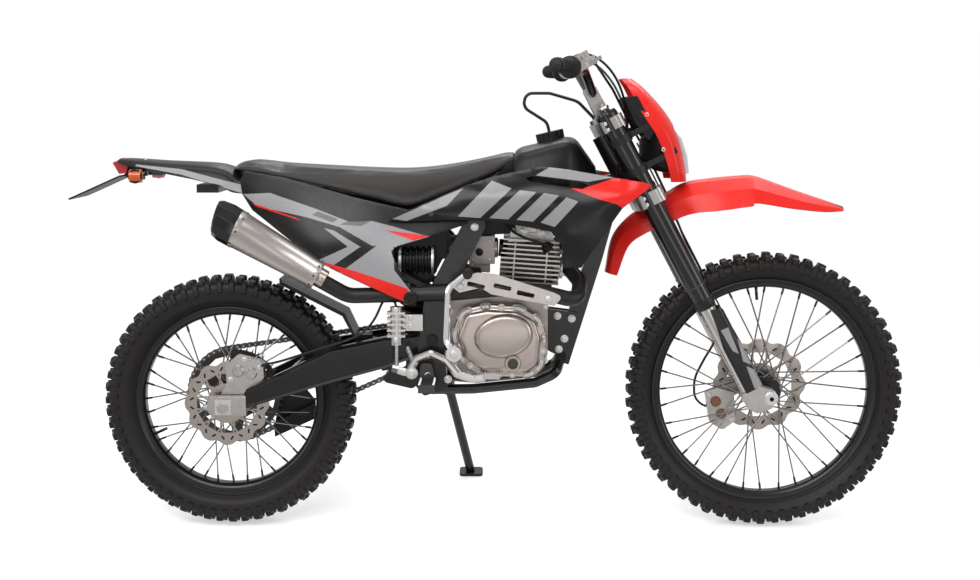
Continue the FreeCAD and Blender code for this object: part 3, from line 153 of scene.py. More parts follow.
def joined(surfaces):
    """Several surfaces as one, the later ones' vertex numbers moved on."""
    verts, faces, start = [], [], 0
    for v, f in surfaces:
        verts.append(np.asarray(v, float).reshape(-1, 3))
        faces += [[i + start for i in face] for face in (f.tolist() if isinstance(f, np.ndarray) else f)]
        start += len(verts[-1])
    return np.concatenate(verts), faces


def both(surface):
    """The surface and the same one on the other side of the middle plane."""
    verts, faces = surface
    return joined([surface, (np.asarray(verts, float) * (1, -1, 1), faces)])


def repeated(faces, size, copies):
    """Faces of several copies of a piece with that many vertices."""
    return [[i + k * size for i in face] for k in range(copies) for face in faces]


def square_to(axis):
    """Two directions square to the axis and to each other."""
    u = np.cross(axis, SKEW)
    u /= np.linalg.norm(u)
    return u, np.cross(axis, u)


def smooth_line(points, count):
    """Centripetal cubic through the points: each span blends its two end tangents, sampled evenly by
    number."""
    p = np.asarray(points, float)
    n = len(p)
    gaps = np.maximum(np.linalg.norm(np.diff(p, axis=0), axis=1), 1e-6) ** 0.5
    t = np.concatenate([[0], np.cumsum(gaps)])
    slopes = np.diff(p, axis=0) / gaps[:, None]
    inner = (slopes[:-1] * gaps[1:, None] + slopes[1:] * gaps[:-1, None]) / (gaps[1:] + gaps[:-1])[:, None]
    tangents = np.concatenate([slopes[:1], inner, slopes[-1:]]) if n > 2 else np.repeat(slopes, 2, 0)
    at = np.linspace(0, t[-1], count)
    k = np.clip(np.searchsorted(t, at, side="right") - 1, 0, n - 2)
    h = gaps[k]
    u = ((at - t[k]) / h)[:, None]
    a, b = p[k], p[k + 1]
    m0, m1 = tangents[k] * h[:, None], tangents[k + 1] * h[:, None]
    share = 3 * u**2 - 2 * u**3
    return (1 - share) * a + (u**3 - 2 * u**2 + u) * m0 + share * b + (u**3 - u**2) * m1


def smooth_sheet(sections, along, across):
    """Surface through sections of equal point counts: cubic curves along each section, then across the
    sections."""
    fine = np.stack([smooth_line(s, across) for s in sections])
    return np.stack([smooth_line(fine[:, j], along) for j in range(across)], 1)


def sheet_normals(sheet):
    """Cross product of the surface's two grid derivatives, made one long."""
    du, dv = np.gradient(sheet, axis=0), np.gradient(sheet, axis=1)
    n = np.cross(du, dv)
    return n / np.maximum(np.linalg.norm(n, axis=-1, keepdims=True), 1e-9)


def thickened(outer, inner, faces):
    """Closed moulding: outer faces, the same faces turned over on the inner points, and walls along the open
    edges."""
    outer, inner = np.asarray(outer, float), np.asarray(inner, float)
    total = len(outer)
    edges = np.array([(f[i], f[(i + 1) % len(f)]) for f in faces for i in range(len(f))])
    key = edges[:, 0] * total + edges[:, 1]
    back = edges[:, 1] * total + edges[:, 0]
    open_edges = edges[~np.isin(key, back)]
    walls = np.stack(
        [open_edges[:, 1], open_edges[:, 0], open_edges[:, 0] + total, open_edges[:, 1] + total], 1)
    turned_over = [[i + total for i in reversed(f)] for f in faces]
    return np.concatenate([outer, inner]), [list(f) for f in faces] + turned_over + walls.tolist()


def shell(sheet, thick, side=1.0, keep=None):
    """Moulding of even thickness: the inner grid is moved along the surface normals; keep drops faces of the
    grid."""
    rows, columns = sheet.shape[:2]
    inner = sheet - sheet_normals(sheet) * side * thick
    faces = grid_faces(rows, columns)
    if keep is not None:
        faces = faces[keep.reshape(-1)]
    return thickened(sheet.reshape(-1, 3), inner.reshape(-1, 3), faces.tolist())


def inside(points, corners):
    """Whether each point lies in the polygon: edges crossed by a line to its right are counted."""
    p, c = np.asarray(points, float), np.asarray(corners, float)
    d = np.roll(c, -1, 0)
    x, y = p[:, None, 0], p[:, None, 1]
    spans = (c[None, :, 1] > y) != (d[None, :, 1] > y)
    rise = np.where(d[:, 1] == c[:, 1], 1e-9, d[:, 1] - c[:, 1])
    cross = c[None, :, 0] + (y - c[None, :, 1]) * (d - c)[None, :, 0] / rise[None]
    return (spans & (x < cross)).sum(1) % 2 == 1


def nearest_on(points, corners):
    """Nearest point of the polygon's edges to each point, and how far it is."""
    p, c = np.asarray(points, float), np.asarray(corners, float)
    d = np.roll(c, -1, 0) - c
    t = np.clip(((p[:, None] - c[None]) * d[None]).sum(2) / (d * d).sum(1)[None], 0, 1)
    foot = c[None] + d[None] * t[..., None]
    gap = np.linalg.norm(foot - p[:, None], axis=2)
    best = gap.argmin(1)
    return foot[np.arange(len(p)), best], gap[np.arange(len(p)), best]


def resampled(corners, spacing):
    """The polygon's edges divided into equal steps no longer than the spacing."""
    c = np.asarray(corners, float)
    d = np.roll(c, -1, 0) - c
    steps = np.maximum(1, np.ceil(np.linalg.norm(d, axis=1) / spacing)).astype(int)
    return np.concatenate([a + v * (np.arange(n) / n)[:, None] for a, v, n in zip(c, d, steps)])


def lateral(points):
    """Thin plate spline: y of (x, z) is a plane plus weights times r squared log r, through every control
    point."""
    p = np.asarray(points, float)
    q = p[:, :2] / 100.0
    n = len(q)

    def kernel(a, b):
        r = np.linalg.norm(a[:, None] - b[None], axis=2)
        return np.where(r > 0, r**2 * np.log(np.maximum(r, 1e-9)), 0.0)
    system = np.zeros((n + 3, n + 3))
    system[:n, :n] = kernel(q, q) + np.eye(n) * 0.02
    system[:n, n:] = np.concatenate([np.ones((n, 1)), q], 1)
    system[n:, :n] = system[:n, n:].T
    weights = np.linalg.solve(system, np.concatenate([p[:, 2], np.zeros(3)]))

    def height(at):
        a = np.asarray(at, float) / 100.0
        return kernel(a, q) @ weights[:n] + np.concatenate([np.ones((len(a), 1)), a], 1) @ weights[n:]
    return height


def moulded(corners, height, holes=(), thick=3.4, spacing=9.0):
    """Side moulding: the outline in (x, z), filled with a triangle net, at y given by the height function."""
    rims = [resampled(c, spacing) for c in (corners, *holes)]
    lo, hi = rims[0].min(0), rims[0].max(0)
    gx, gz = np.meshgrid(np.arange(lo[0], hi[0], spacing), np.arange(lo[1], hi[1], spacing), indexing="ij")
    net = np.stack([gx.ravel(), gz.ravel()], 1)
    keep = inside(net, rims[0]) & (nearest_on(net, rims[0])[1] > spacing * 0.5)
    for rim in rims[1:]:
        keep &= ~inside(net, rim) & (nearest_on(net, rim)[1] > spacing * 0.5)
    points = np.concatenate(rims + [net[keep]])
    edges, start = [], 0
    for rim in rims:
        k = np.arange(len(rim))
        edges += (np.stack([k, (k + 1) % len(rim)], 1) + start).tolist()
        start += len(rim)
    out = geometry.delaunay_2d_cdt([Vector(q) for q in points], edges, [], 1, 1e-5)
    flat = np.array([tuple(v) for v in out[0]])
    faces = [list(f) for f in out[2]]
    if len(rims) > 1:
        middles = np.array([flat[f].mean(0) for f in faces])
        drop = np.zeros(len(faces), bool)
        for rim in rims[1:]:
            drop |= inside(middles, rim)
        faces = [f for f, gone in zip(faces, drop) if not gone]
    y = height(flat)
    outer = np.stack([flat[:, 0], y, flat[:, 1]], 1)
    inner = outer + (0, thick if y.mean() < 0 else -thick, 0)
    return thickened(outer, inner, faces)


def frames_along(line):
    """Tangent at each point, and two directions square to it that are carried along without twist."""
    line = np.asarray(line, float)
    t = np.gradient(line, axis=0)
    t /= np.maximum(np.linalg.norm(t, axis=1, keepdims=True), 1e-9)
    first = np.cross(t[0], SKEW)
    side = [first / np.linalg.norm(first)]
    for k in range(1, len(line)):
        carried = side[-1] - t[k] * np.dot(side[-1], t[k])
        side.append(carried / np.linalg.norm(carried))
    side = np.array(side)
    return t, side, np.cross(t, side)


def hose(line, radius, sides):
    """Round section carried along a line."""
    _, a, b = frames_along(line)
    turn = np.linspace(0, 2 * math.pi, sides, endpoint=False)[None, :, None]
    return ringed(line[:, None] + radius * (np.cos(turn) * a[:, None] + np.sin(turn) * b[:, None]))


def bars(starts, ends, radius, sides=8):
    """Many straight round bars at once, each a ring of points at its start and one at its end."""
    a, b = np.asarray(starts, float).reshape(-1, 3), np.asarray(ends, float).reshape(-1, 3)
    axis = b - a
    axis /= np.linalg.norm(axis, axis=1, keepdims=True)
    u = np.cross(axis, SKEW)
    u /= np.linalg.norm(u, axis=1, keepdims=True)
    w = np.cross(axis, u)
    turn = np.linspace(0, 2 * math.pi, sides, endpoint=False)
    ring = radius * (np.cos(turn)[None, :, None] * u[:, None] + np.sin(turn)[None, :, None] * w[:, None])
    verts = np.stack([a[:, None] + ring, b[:, None] + ring], 1)
    one = grid_faces(2, sides, False, True).tolist() + [list(range(sides)), list(range(sides, 2 * sides))]
    return verts.reshape(-1, 3), repeated(one, 2 * sides, len(a))


def turned(profile, centre, axis=LEFT, steps=48):
    """Profile of (along, radius) points turned about an axis through centre. One that starts and ends on the
    axis makes a solid; any other is closed and makes a ring."""
    p = np.asarray(profile, float)
    axis = np.asarray(axis, float) / np.linalg.norm(axis)
    u = np.cross(axis, SKEW if abs(axis[1]) < 0.9 else UP)
    u /= np.linalg.norm(u)
    w = np.cross(axis, u)
    turn = np.linspace(0, 2 * math.pi, steps, endpoint=False)
    around = np.cos(turn)[:, None] * u + np.sin(turn)[:, None] * w
    verts = np.asarray(centre, float) + axis * p[None, :, :1] + around[:, None] * p[None, :, 1:]
    return verts.reshape(-1, 3), grid_faces(steps, len(p), True, max(p[0, 1], p[-1, 1]) > 0).tolist()


def outline(points, plane="xz", at=0.0, steps=5):
    """Closed outline through (a, b) or (a, b, radius): a round corner is an arc sampled in equal turns."""
    done = []
    n = len(points)
    for i, p in enumerate(points):
        here = np.array(p[:2], float)
        radius = p[2] if len(p) > 2 else 0
        if radius <= 0:
            done.append(here[None])
            continue
        before = np.array(points[i - 1][:2], float) - here
        after = np.array(points[(i + 1) % n][:2], float) - here
        lengths = np.linalg.norm(before), np.linalg.norm(after)
        before, after = before / lengths[0], after / lengths[1]
        half = math.acos(np.clip(before @ after, -1, 1)) / 2
        reach = min(radius / math.tan(half), 0.48 * min(lengths))
        t = np.linspace(0, 1, steps)[:, None]
        start, end = here + before * reach, here + after * reach
        done.append((1 - t) ** 2 * start + 2 * t * (1 - t) * here + t**2 * end)
    flat = np.concatenate(done)
    level = np.full(len(flat), float(at))
    order = {"xz": (flat[:, 0], level, flat[:, 1]), "xy": (flat[:, 0], flat[:, 1], level),
             "yz": (level, flat[:, 0], flat[:, 1])}[plane]
    return np.stack(order, 1)


def plate(points, low, high):
    """Outline in the (x, z) plane, carried straight between two values of y."""
    return ringed([outline(points, "xz", y) for y in sorted((low, high))])


def band(outer, inner, low, high):
    """Flat ring between two closed curves of equal point counts in the (x, z) plane, from low to high."""
    outer, inner = np.asarray(outer, float), np.asarray(inner, float)

    def at(curve, y):
        return np.stack([curve[:, 0], np.full(len(curve), y), curve[:, 1]], 1)
    rings = np.stack([at(outer, low), at(outer, high), at(inner, high), at(inner, low)])
    return ringed(rings, loop=True)


def round_axle(surface, angles, centre):
    """Copies of a piece made at a wheel's top, in (tangent, y, radius), turned about the axle by each
    angle."""
    v, f = surface
    v = np.asarray(v, float)
    a = np.asarray(angles, float)[:, None]
    x = v[None, :, 0] * np.cos(a) + v[None, :, 2] * np.sin(a)
    z = v[None, :, 2] * np.cos(a) - v[None, :, 0] * np.sin(a)
    y = np.broadcast_to(v[None, :, 1], x.shape)
    verts = np.stack([x, y, z], -1) + np.asarray(centre, float)
    return verts.reshape(-1, 3), repeated(f, len(v), len(angles))


def hexagon_bolts(places, axis, radius=6.0, height=4.0):
    """Hexagon heads with a round washer below and a dished top, at each place, standing along axis."""
    washer = [(0, 0), (0, radius * 1.3), (1.2, radius * 1.3), (1.6, radius * 1.15), (1.6, 0)]
    head = [(1.2, 0), (1.2, radius), (height - 0.6, radius), (height, radius * 0.86), (height, radius * 0.5),
            (height - 0.7, radius * 0.42), (height - 0.7, 0)]
    return joined([turned(profile, place, axis, steps) for place in np.asarray(places, float).reshape(-1, 3)
                   for profile, steps in ((washer, 20), (head, 6))])


def socket_bolts(places, axis, radius=4.5, height=4.0):
    """Round cap screws with a hollow in the head, at each place, standing along axis."""
    profile = [(0, 0), (0, radius), (height - 0.8, radius), (height, radius - 0.8), (height, radius * 0.55),
               (height - 2, radius * 0.5), (height - 2, 0)]
    return joined([turned(profile, place, axis, 16) for place in np.asarray(places, float).reshape(-1, 3)])


# Materials

class Tree:
    """Adds nodes to a material or group and links them; an input is a number, a colour or another node's
    output."""

    def __init__(self, tree):
        self.tree = tree

    def feed(self, node, key, value):
        if isinstance(value, bpy.types.NodeSocket):
            self.tree.links.new(value, node.inputs[key])
        else:
            node.inputs[key].default_value = value

    def add(self, kind, out=0, inputs=None, **settings):
        node = self.tree.nodes.new(kind)
        for key, value in settings.items():
            setattr(node, key, value)
        for key, value in (inputs or {}).items():
            self.feed(node, key, value)
        return node.outputs[out]

    def place(self, effect, **inputs):
        """First output of an effect's node group, placed with its own values."""
        return self.add("ShaderNodeGroup", inputs=inputs, node_tree=effect)

    def maths(self, operation, a, b=0.0):
        return self.add("ShaderNodeMath", operation=operation, inputs={0: a, 1: b})

    def spread(self, value, low, high, to_low, to_high):
        return self.add("ShaderNodeMapRange", inputs={"Value": value, "From Min": low, "From Max": high,
                                                      "To Min": to_low, "To Max": to_high})

    def mix(self, share, a, b):
        a, b = (c if isinstance(c, bpy.types.NodeSocket) else (*c[:3], 1.0) for c in (a, b))
        return self.add("ShaderNodeMix", 2, {0: share, 6: a, 7: b}, data_type="RGBA")

    def combined(self, operation, masks):
        return functools.reduce(lambda a, b: self.maths(operation, a, b), masks)

    def plane(self, where, normal, point):
        """1 above the plane through that point of the upright bike, 0 below it."""
        level = float(np.dot(leaned(normal), parked([point])[0]))
        return self.place(half_plane_group(), Vector=where, Normal=leaned(normal), Level=level)

    def polygon(self, where, corners):
        """1 within a convex polygon of (x, z) corners on the upright bike's side view, given either way
        round."""
        turn = sum(x0 * z1 - x1 * z0 for (x0, z0), (x1, z1) in zip(corners, corners[1:] + corners[:1]))
        corners = corners if turn > 0 else corners[::-1]
        sides = []
        for (x0, z0), (x1, z1) in zip(corners, corners[1:] + corners[:1]):
            normal = np.array([z0 - z1, 0.0, x1 - x0])
            sides.append(self.plane(where, normal / np.linalg.norm(normal), (x0, 0.0, z0)))
        return self.combined("MULTIPLY", sides)


def group(name, inputs, outputs, build):
    """Shader node group with named sockets, given as (label, default), built once. A tuple makes a vector."""
    found = bpy.data.node_groups.get(name)
    if found:
        return found
    made = bpy.data.node_groups.new(name, "ShaderNodeTree")
    for label, default in inputs:
        kind = "NodeSocketVector" if isinstance(default, tuple) else "NodeSocketFloat"
        made.interface.new_socket(label, in_out="INPUT", socket_type=kind).default_value = default
    for label in outputs:
        made.interface.new_socket(label, in_out="OUTPUT", socket_type="NodeSocketFloat")
    source = made.nodes.new("NodeGroupInput")
    sink = made.nodes.new("NodeGroupOutput")
    for label, socket in build(Tree(made), source.outputs).items():
        made.links.new(socket, sink.inputs[label])
    return made


def grain_group():
    """Fine and coarse noise: a height for the bump, and a value that moves roughness and colour."""
    def build(t, given):
        def noise(scale, detail):
            return t.add(
                "ShaderNodeTexNoise", inputs={"Vector": given["Vector"], "Scale": scale, "Detail": detail})
        return {"Height": noise(given["Scale"], 4.0),
                "Cloud": noise(t.maths("MULTIPLY", given["Scale"], 0.06), 2.0)}
    return group("Fine grain", [("Vector", (0.0, 0.0, 0.0)), ("Scale", 600.0)], ["Height", "Cloud"], build)


def brushed_group():
    """Noise stretched along one direction, which the given scale vector sets: hair lines of a brushed
    metal."""
    def build(t, given):
        along = t.add(
            "ShaderNodeVectorMath", operation="MULTIPLY", inputs={0: given["Vector"], 1: given["Stretch"]})
        return {"Lines": t.add("ShaderNodeTexNoise", inputs={"Vector": along, "Scale": 1.0, "Detail": 3.0})}
    return group(
        "Brushed lines", [("Vector", (0.0, 0.0, 0.0)), ("Stretch", (40.0, 900.0, 900.0))], ["Lines"], build)


def half_plane_group():
    """1 where the point lies above the plane with that normal and level, 0 below."""
    def build(t, given):
        height = t.add(
            "ShaderNodeVectorMath", 1, {0: given["Vector"], 1: given["Normal"]}, operation="DOT_PRODUCT")
        return {"Inside": t.maths("GREATER_THAN", height, given["Level"])}
    sockets = [("Vector", (0.0, 0.0, 0.0)), ("Normal", (0.0, 0.0, 1.0)), ("Level", 0.0)]
    return group("Half plane", sockets, ["Inside"], build)


def blank(name):
    """New material: itself, its tree, its shader and its Object coordinates."""
    material = bpy.data.materials.new(name)
    material.use_nodes = True
    t = Tree(material.node_tree)
    return material, t, t.tree.nodes["Principled BSDF"], t.add("ShaderNodeTexCoord", out=3)


def shade(colour):
    """A colour given as numbers, or as the name of one of the scene's own colours."""
    return tuple(getattr(bpy.context.scene.motorcycle_colours, colour)) if isinstance(colour, str) else colour


def finish(name, colour, rough, metal=0.0, coat=0.0, grain=0.0, grain_scale=900.0, cloud=0.0, brushed=None,
           patches=(), specular=0.5, core_or_painted_shade=None):
    """Material of one finish. Coarse noise clouds the colour and moves the roughness, and fine grain makes a
    bump; brushed is (stretch, depth) of hair lines that take the grain's place. patches are (colour, convex
    polygons) painted over it in order, on the upright bike's side view. core_or_painted_shade is the colour
    of what lies inside all of the (normal, point) planes given with it: a part's own dark inner colour, or
    painted shade in a recess, as on the barrel between the fins."""
    found = bpy.data.materials.get(name)
    if found:
        return found
    material, t, shader, where = blank(name)
    plain = (("Metallic", metal), ("Coat Weight", coat), ("Coat Roughness", 0.08),
             ("Specular IOR Level", specular))
    for key, value in plain:
        t.feed(shader, key, value)
    noise = t.place(grain_group(), Vector=where, Scale=grain_scale)
    clouds = noise.node.outputs["Cloud"]
    paint = (*shade(colour), 1.0)
    if cloud:
        paint = t.mix(clouds, [c * (1 - cloud) for c in colour], [min(1.0, c * (1 + cloud)) for c in colour])
    # the core is a part's own dark inner colour, or painted shade in a recess such as between the fins
    if core_or_painted_shade:
        paint = t.mix(t.combined("MAXIMUM", [t.plane(where, *plane) for plane in core_or_painted_shade[1]]), core_or_painted_shade[0], paint)
    for patch_colour, polygons in patches:
        mask = t.combined("MAXIMUM", [t.polygon(where, polygon) for polygon in polygons])
        paint = t.mix(mask, paint, shade(patch_colour))
    t.feed(shader, "Base Color", paint)
    if brushed:
        height, depth = t.place(brushed_group(), Vector=where, Stretch=brushed[0]), brushed[1]
        t.feed(shader, "Roughness", t.spread(height, 0.3, 0.7, rough * 0.75, rough * 1.3))
    else:
        height, depth = noise, grain
        t.feed(shader, "Roughness", t.spread(clouds, 0.3, 0.7, rough * 0.9, rough * 1.12))
    if depth > 0:
        bump = t.add("ShaderNodeBump", inputs={"Height": height, "Strength": depth, "Distance": 0.0005})
        t.feed(shader, "Normal", bump)
    return material


BLACK = (0.006, 0.0055, 0.0052)
FINISHES = {
    "frame_black": ((0.008, 0.0072, 0.0068), 0.26, {"specular": 0.4}),
    "rim_black": (BLACK, 0.24, {"specular": 0.4}),
    "plastic_black": ((0.0078, 0.007, 0.0066), 0.38, {"grain": 0.08, "grain_scale": 2200, "specular": 0.25}),
    "gloss_black": (BLACK, 0.16, {"specular": 0.4}),
    "fork_black": (BLACK, 0.16, {}),
    "tyre_rubber": ((0.0092, 0.0078, 0.007), 0.48,
                    {"grain": 0.2, "grain_scale": 1600, "cloud": 0.25, "specular": 0.3}),
    "hose_rubber": ((0.006, 0.006, 0.006), 0.4, {"grain": 0.15, "specular": 0.35}),
    "grip_rubber": ((0.009, 0.008, 0.0075), 0.5, {"grain": 0.2, "grain_scale": 1200, "specular": 0.3}),
    "cast_alloy": ((0.33, 0.3, 0.28), 0.4, {"metal": 0.9, "grain": 0.02, "grain_scale": 2200, "cloud": 0.1}),
    "cover_champagne": ((0.42, 0.365, 0.33), 0.32,
                        {"metal": 0.9, "grain": 0.03, "grain_scale": 2600, "cloud": 0.04}),
    "machined_alloy": ((0.45, 0.43, 0.415), 0.28, {"metal": 1.0, "cloud": 0.06}),
    # fin_alloy: the barrel and the fins' inner faces between the fins are painted darker, painted shade where
    # the gaps lie in shade
    "fin_alloy": ((0.42, 0.39, 0.365), 0.34, {"metal": 0.95, "cloud": 0.12, "core_or_painted_shade": (
        (0.035, 0.032, 0.03), [(RIGHT, (0, -66.5, 0)), (LEFT, (0, 58.5, 0)), ((1, 0, 0), (822, 0, 0)),
                               (UP, (0, 0, 730))])}),
    "steel": ((0.38, 0.365, 0.355), 0.24, {"metal": 1.0, "cloud": 0.08}),
    "dark_steel": ((0.07, 0.066, 0.064), 0.36,
                   {"metal": 0.9, "grain": 0.12, "grain_scale": 2400, "cloud": 0.1}),
    "disc_steel": ((0.4, 0.355, 0.325), 0.3, {"metal": 1.0, "brushed": ((900.0, 90.0, 900.0), 0.06)}),
    "spoke_steel": ((0.24, 0.225, 0.215), 0.26, {"metal": 1.0}),
    "chrome": ((0.5, 0.49, 0.48), 0.1, {"metal": 1.0}),
    "chain_steel": ((0.1, 0.092, 0.088), 0.4, {"metal": 0.9, "grain": 0.2}),
    "brushed_silencer": ((0.42, 0.39, 0.37), 0.32, {"metal": 1.0, "brushed": ((900.0, 900.0, 900.0), 0.05)}),
    "shield_steel": ((0.4, 0.37, 0.345), 0.28, {"metal": 1.0, "cloud": 0.06}),
    "pipe_steel": ((0.4, 0.35, 0.31), 0.28, {"metal": 1.0, "cloud": 0.1}),
    "pipe_black": ((0.012, 0.01, 0.0095), 0.4,
                   {"grain": 0.3, "grain_scale": 1800, "cloud": 0.2, "specular": 0.35}),
    "guard_graphic": ((0.008, 0.008, 0.0085), 0.3, {"specular": 0.35, "patches": [("graphic_grey", [
        [(1228, 520), (1246, 528), (1274, 462), (1258, 470)],
        [(1270, 500), (1290, 480), (1312, 432), (1284, 444)],
        [(1292, 432), (1318, 420), (1338, 378), (1314, 376)]])]}),
    "red_moulding": ("moulding_red", 0.3, {"specular": 0.3}),
    "lamp_red": ((0.5, 0.012, 0.01), 0.12, {"coat": 0.6}),
    "lamp_amber": ((0.62, 0.1, 0.012), 0.16, {"coat": 0.3, "core_or_painted_shade": (
        (0.008, 0.007, 0.007), [(RIGHT, (0, -104, 0)), (LEFT, (0, 104, 0))])}),
    "piston_brown": ((0.24, 0.11, 0.06), 0.4, {"metal": 0.4}),
}
# The finishes that each of the library's slots usually holds
SLOTS = {
    "steel": ("steel", "dark_steel", "chain_steel", "spoke_steel", "disc_steel"),
    "rubber": ("hose_rubber", "grip_rubber"),
    "black_plastic": ("plastic_black", "gloss_black"),
    "bare_alloy": ("machined_alloy", "fin_alloy", "pipe_steel"),
    "cast_grey": ("cover_champagne", "piston_brown"),
    "silencer_metal": ("brushed_silencer",),
    "red_plastic": ("red_moulding",),
    "black_frame": ("rim_black",),
    "tyre": ("tyre_rubber",),
}


def material_of(kind):
    """The material of a finish's name; a material is passed on."""
    if isinstance(kind, bpy.types.Material):
        return kind
    colour, rough, rest = FINISHES[kind]
    return finish(kind, colour, rough, **rest)


# Putting pieces into the scene

def rounded(obj, width, segments, sharp):
    """Edges over the sharp angle, in degrees, rounded by modifiers alone; width is in mm."""
    cut = obj.modifiers.new("Edges", "BEVEL")
    cut.width, cut.segments = width * 0.001, segments
    cut.limit_method, cut.angle_limit = "ANGLE", math.radians(sharp)
    obj.modifiers.new("Shading", "WEIGHTED_NORMAL").weight = 80


def make(name, surfaces, kinds, body="chassis", slot=None, replaces=(), bevel=0.0, segments=2, sharp=38.0):
    """One object of several closed surfaces: doubles merged, faces turned outwards, edges over the sharp
    angle kept crisp or beveled, then set on its body. Each surface is (vertices, faces) or (vertices, faces,
    material number); kinds is a finish or several. Where no slot is given, the first one's usual slot is
    looked up, but the piece is given no slot."""
    kinds = kinds if isinstance(kinds, tuple) else (kinds,)
    verts, faces = joined([surface[:2] for surface in surfaces])
    numbers = np.concatenate([np.full(len(s[1]), s[2] if len(s) > 2 else 0) for s in surfaces])
    mesh = bpy.data.meshes.new(name)
    mesh.from_pydata(parked(verts).tolist(), [], faces)
    for kind in kinds:
        mesh.materials.append(material_of(kind))
    mesh.polygons.foreach_set("material_index", numbers.astype(np.int32))
    bm = bmesh.new()
    bm.from_mesh(mesh)
    bmesh.ops.remove_doubles(bm, verts=bm.verts, dist=1e-6)
    bmesh.ops.dissolve_degenerate(bm, edges=bm.edges, dist=1e-7)
    bmesh.ops.recalc_face_normals(bm, faces=bm.faces)
    for face in bm.faces:
        face.smooth = True
    if not bevel:
        for edge in bm.edges:
            edge.smooth = edge.calc_face_angle(0.0) < math.radians(sharp)
    bm.to_mesh(mesh)
    bm.free()
    obj = bpy.data.objects.new(name, mesh)
    bpy.context.collection.objects.link(obj)
    if bevel:
        rounded(obj, bevel, segments, sharp)
    slot or next(usual for usual, names in SLOTS.items() if kinds[0] in names)
    if replaces:
        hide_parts(*replaces)
    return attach(obj, body)


def dress(node, kind, bevel=0.8):
    """Gives a CAD node its finish; its loose faces are merged and its edges rounded by modifiers alone."""
    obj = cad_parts[node]
    material = material_of(kind)
    if not obj.material_slots:
        obj.data.materials.append(material)
    for place in obj.material_slots:
        place.material = material
    obj.data.polygons.foreach_set("use_smooth", np.ones(len(obj.data.polygons), bool))
    obj.modifiers.new("Merge", "WELD").merge_threshold = 0.00002
    flat = obj.modifiers.new("Flats", "DECIMATE")
    flat.decimate_type, flat.angle_limit = "DISSOLVE", math.radians(0.5)
    rounded(obj, bevel, 2, 38.0)


# Wheels

def block(length, y0, y1, top, base, lean=0.0, taper=1.6, chamfer=1.8):
    """Tread block in (tangent, y, radius): a rectangle that narrows upwards, with cut corners and a chamfered
    top. lean lowers the top towards y1."""
    corner = 2.2

    def ring(half, a, b, radius):
        lo, hi = min(a, b), max(a, b)
        near, far = half - corner, half
        t = np.array([-far, -near, near, far, far, near, -near, -far])
        y = np.array([lo + corner, lo, lo, lo + corner, hi - corner, hi, hi, hi - corner])
        return np.stack([t, y, radius - lean * (np.abs(y) - abs(y0)) / abs(y1 - y0)], 1)
    foot = np.sign(y1 - y0) * taper * 0.3
    edge = np.sign(y1 - y0) * chamfer * 0.6
    return ringed([ring(length + taper, y0 - foot, y1 + foot, base), ring(length, y0, y1, top - chamfer),
                   ring(length - chamfer * 0.7, y0 + edge, y1 - edge, top)])


def tyre_surfaces(wheel, lugs):
    """Carcass turned from a smooth section, with rows of blocks: middle, beside the middle, and down the
    shoulders. Ribs stand below the shoulders, and two fine rings next to the rim."""
    centre = wheel["centre"]
    (outer, half), (rim_r, rim_half) = wheel["tyre"], wheel["rim"]
    base = outer - LUG_HEIGHT
    bead = rim_half - 4.6
    wall = [(bead, rim_r - 6.5), (rim_half - 2.6, rim_r + 1), (rim_half + 4, rim_r + 8),
            (half - 6, rim_r + 24)]
    crown = [(half - 3.2, base - 18), (half - 9, base - 6), (half * 0.42, base), (0, base + 1.5)]
    right = smooth_line(wall + crown, 26)
    bed = [(4 - bead, rim_r - 6.0), (bead - 4, rim_r - 6.0)]
    step = 2 * math.pi / lugs
    even = step * np.arange(lugs)
    flank_angles = step / 2 * np.arange(2 * lugs) + step / 4
    rows = [turned(np.concatenate([right, right[-2::-1] * (-1, 1), bed]), centre, steps=160),
            round_axle(block(9.6, -15, 15, outer, base - 3), even, centre)]
    for side in SIDES:
        wide = side * half
        beside = block(8.2, side * 8, wide * 0.62, outer - 1.2, base - 6, lean=4.0)
        shoulder = block(7.4, wide * 0.5, wide * 0.78, outer - 5.0, base - 9, lean=4.5)
        flank = block(6.6, wide * 0.72, wide * 0.995, outer - 9.5, base - 16, lean=9.0)
        rib = block(
            1.6, wide - side * 6, wide - side * 0.9, base - 8, base - 27, lean=2.0, taper=0.3, chamfer=0.8)
        rows += [round_axle(beside, even + step / 2, centre), round_axle(shoulder, even, centre),
                 round_axle(flank, flank_angles, centre)]
        rows += [
            round_axle((rib[0] + (shift, 0, 0), rib[1]), flank_angles, centre) for shift in (-4.6, 0.0, 4.6)]
    for side in SIDES:
        for gap, depth in ((6.5, 1.2), (11.0, 0.9)):
            radius = rim_r + gap
            low, high = (side * (rim_half + 2.2 + (gap - 6.5) * 0.5 + out) for out in (-2, depth))
            ring = [(low, radius - 1.2), (high, radius - 0.4), (high, radius + 0.4), (low, radius + 1.4)]
            rows.append(turned(ring, centre, steps=120))
    return rows


def rim_surfaces(wheel):
    """Rim turned from its section: flange lips, a flat bed under the tyre and a rounded belly with the
    spokes."""
    radius, half = wheel["rim"]
    belly = radius - RIM_DEPTH
    right = np.array([(0, belly), (half * 0.35, belly), (half * 0.62, belly + 1.4),
                      (half * 0.84, radius - 15), (half * 0.93, radius - 9), (half * 0.97, radius - 4),
                      (half, radius - 1.6), (half - 0.8, radius - 0.2), (half - 2.2, radius - 0.2),
                      (half - 3.2, radius - 1.6), (half - 4, radius - 9), (0, radius - 9)])
    return [turned(np.concatenate([right, right[-2:0:-1] * (-1, 1)]), wheel["centre"], steps=160)]


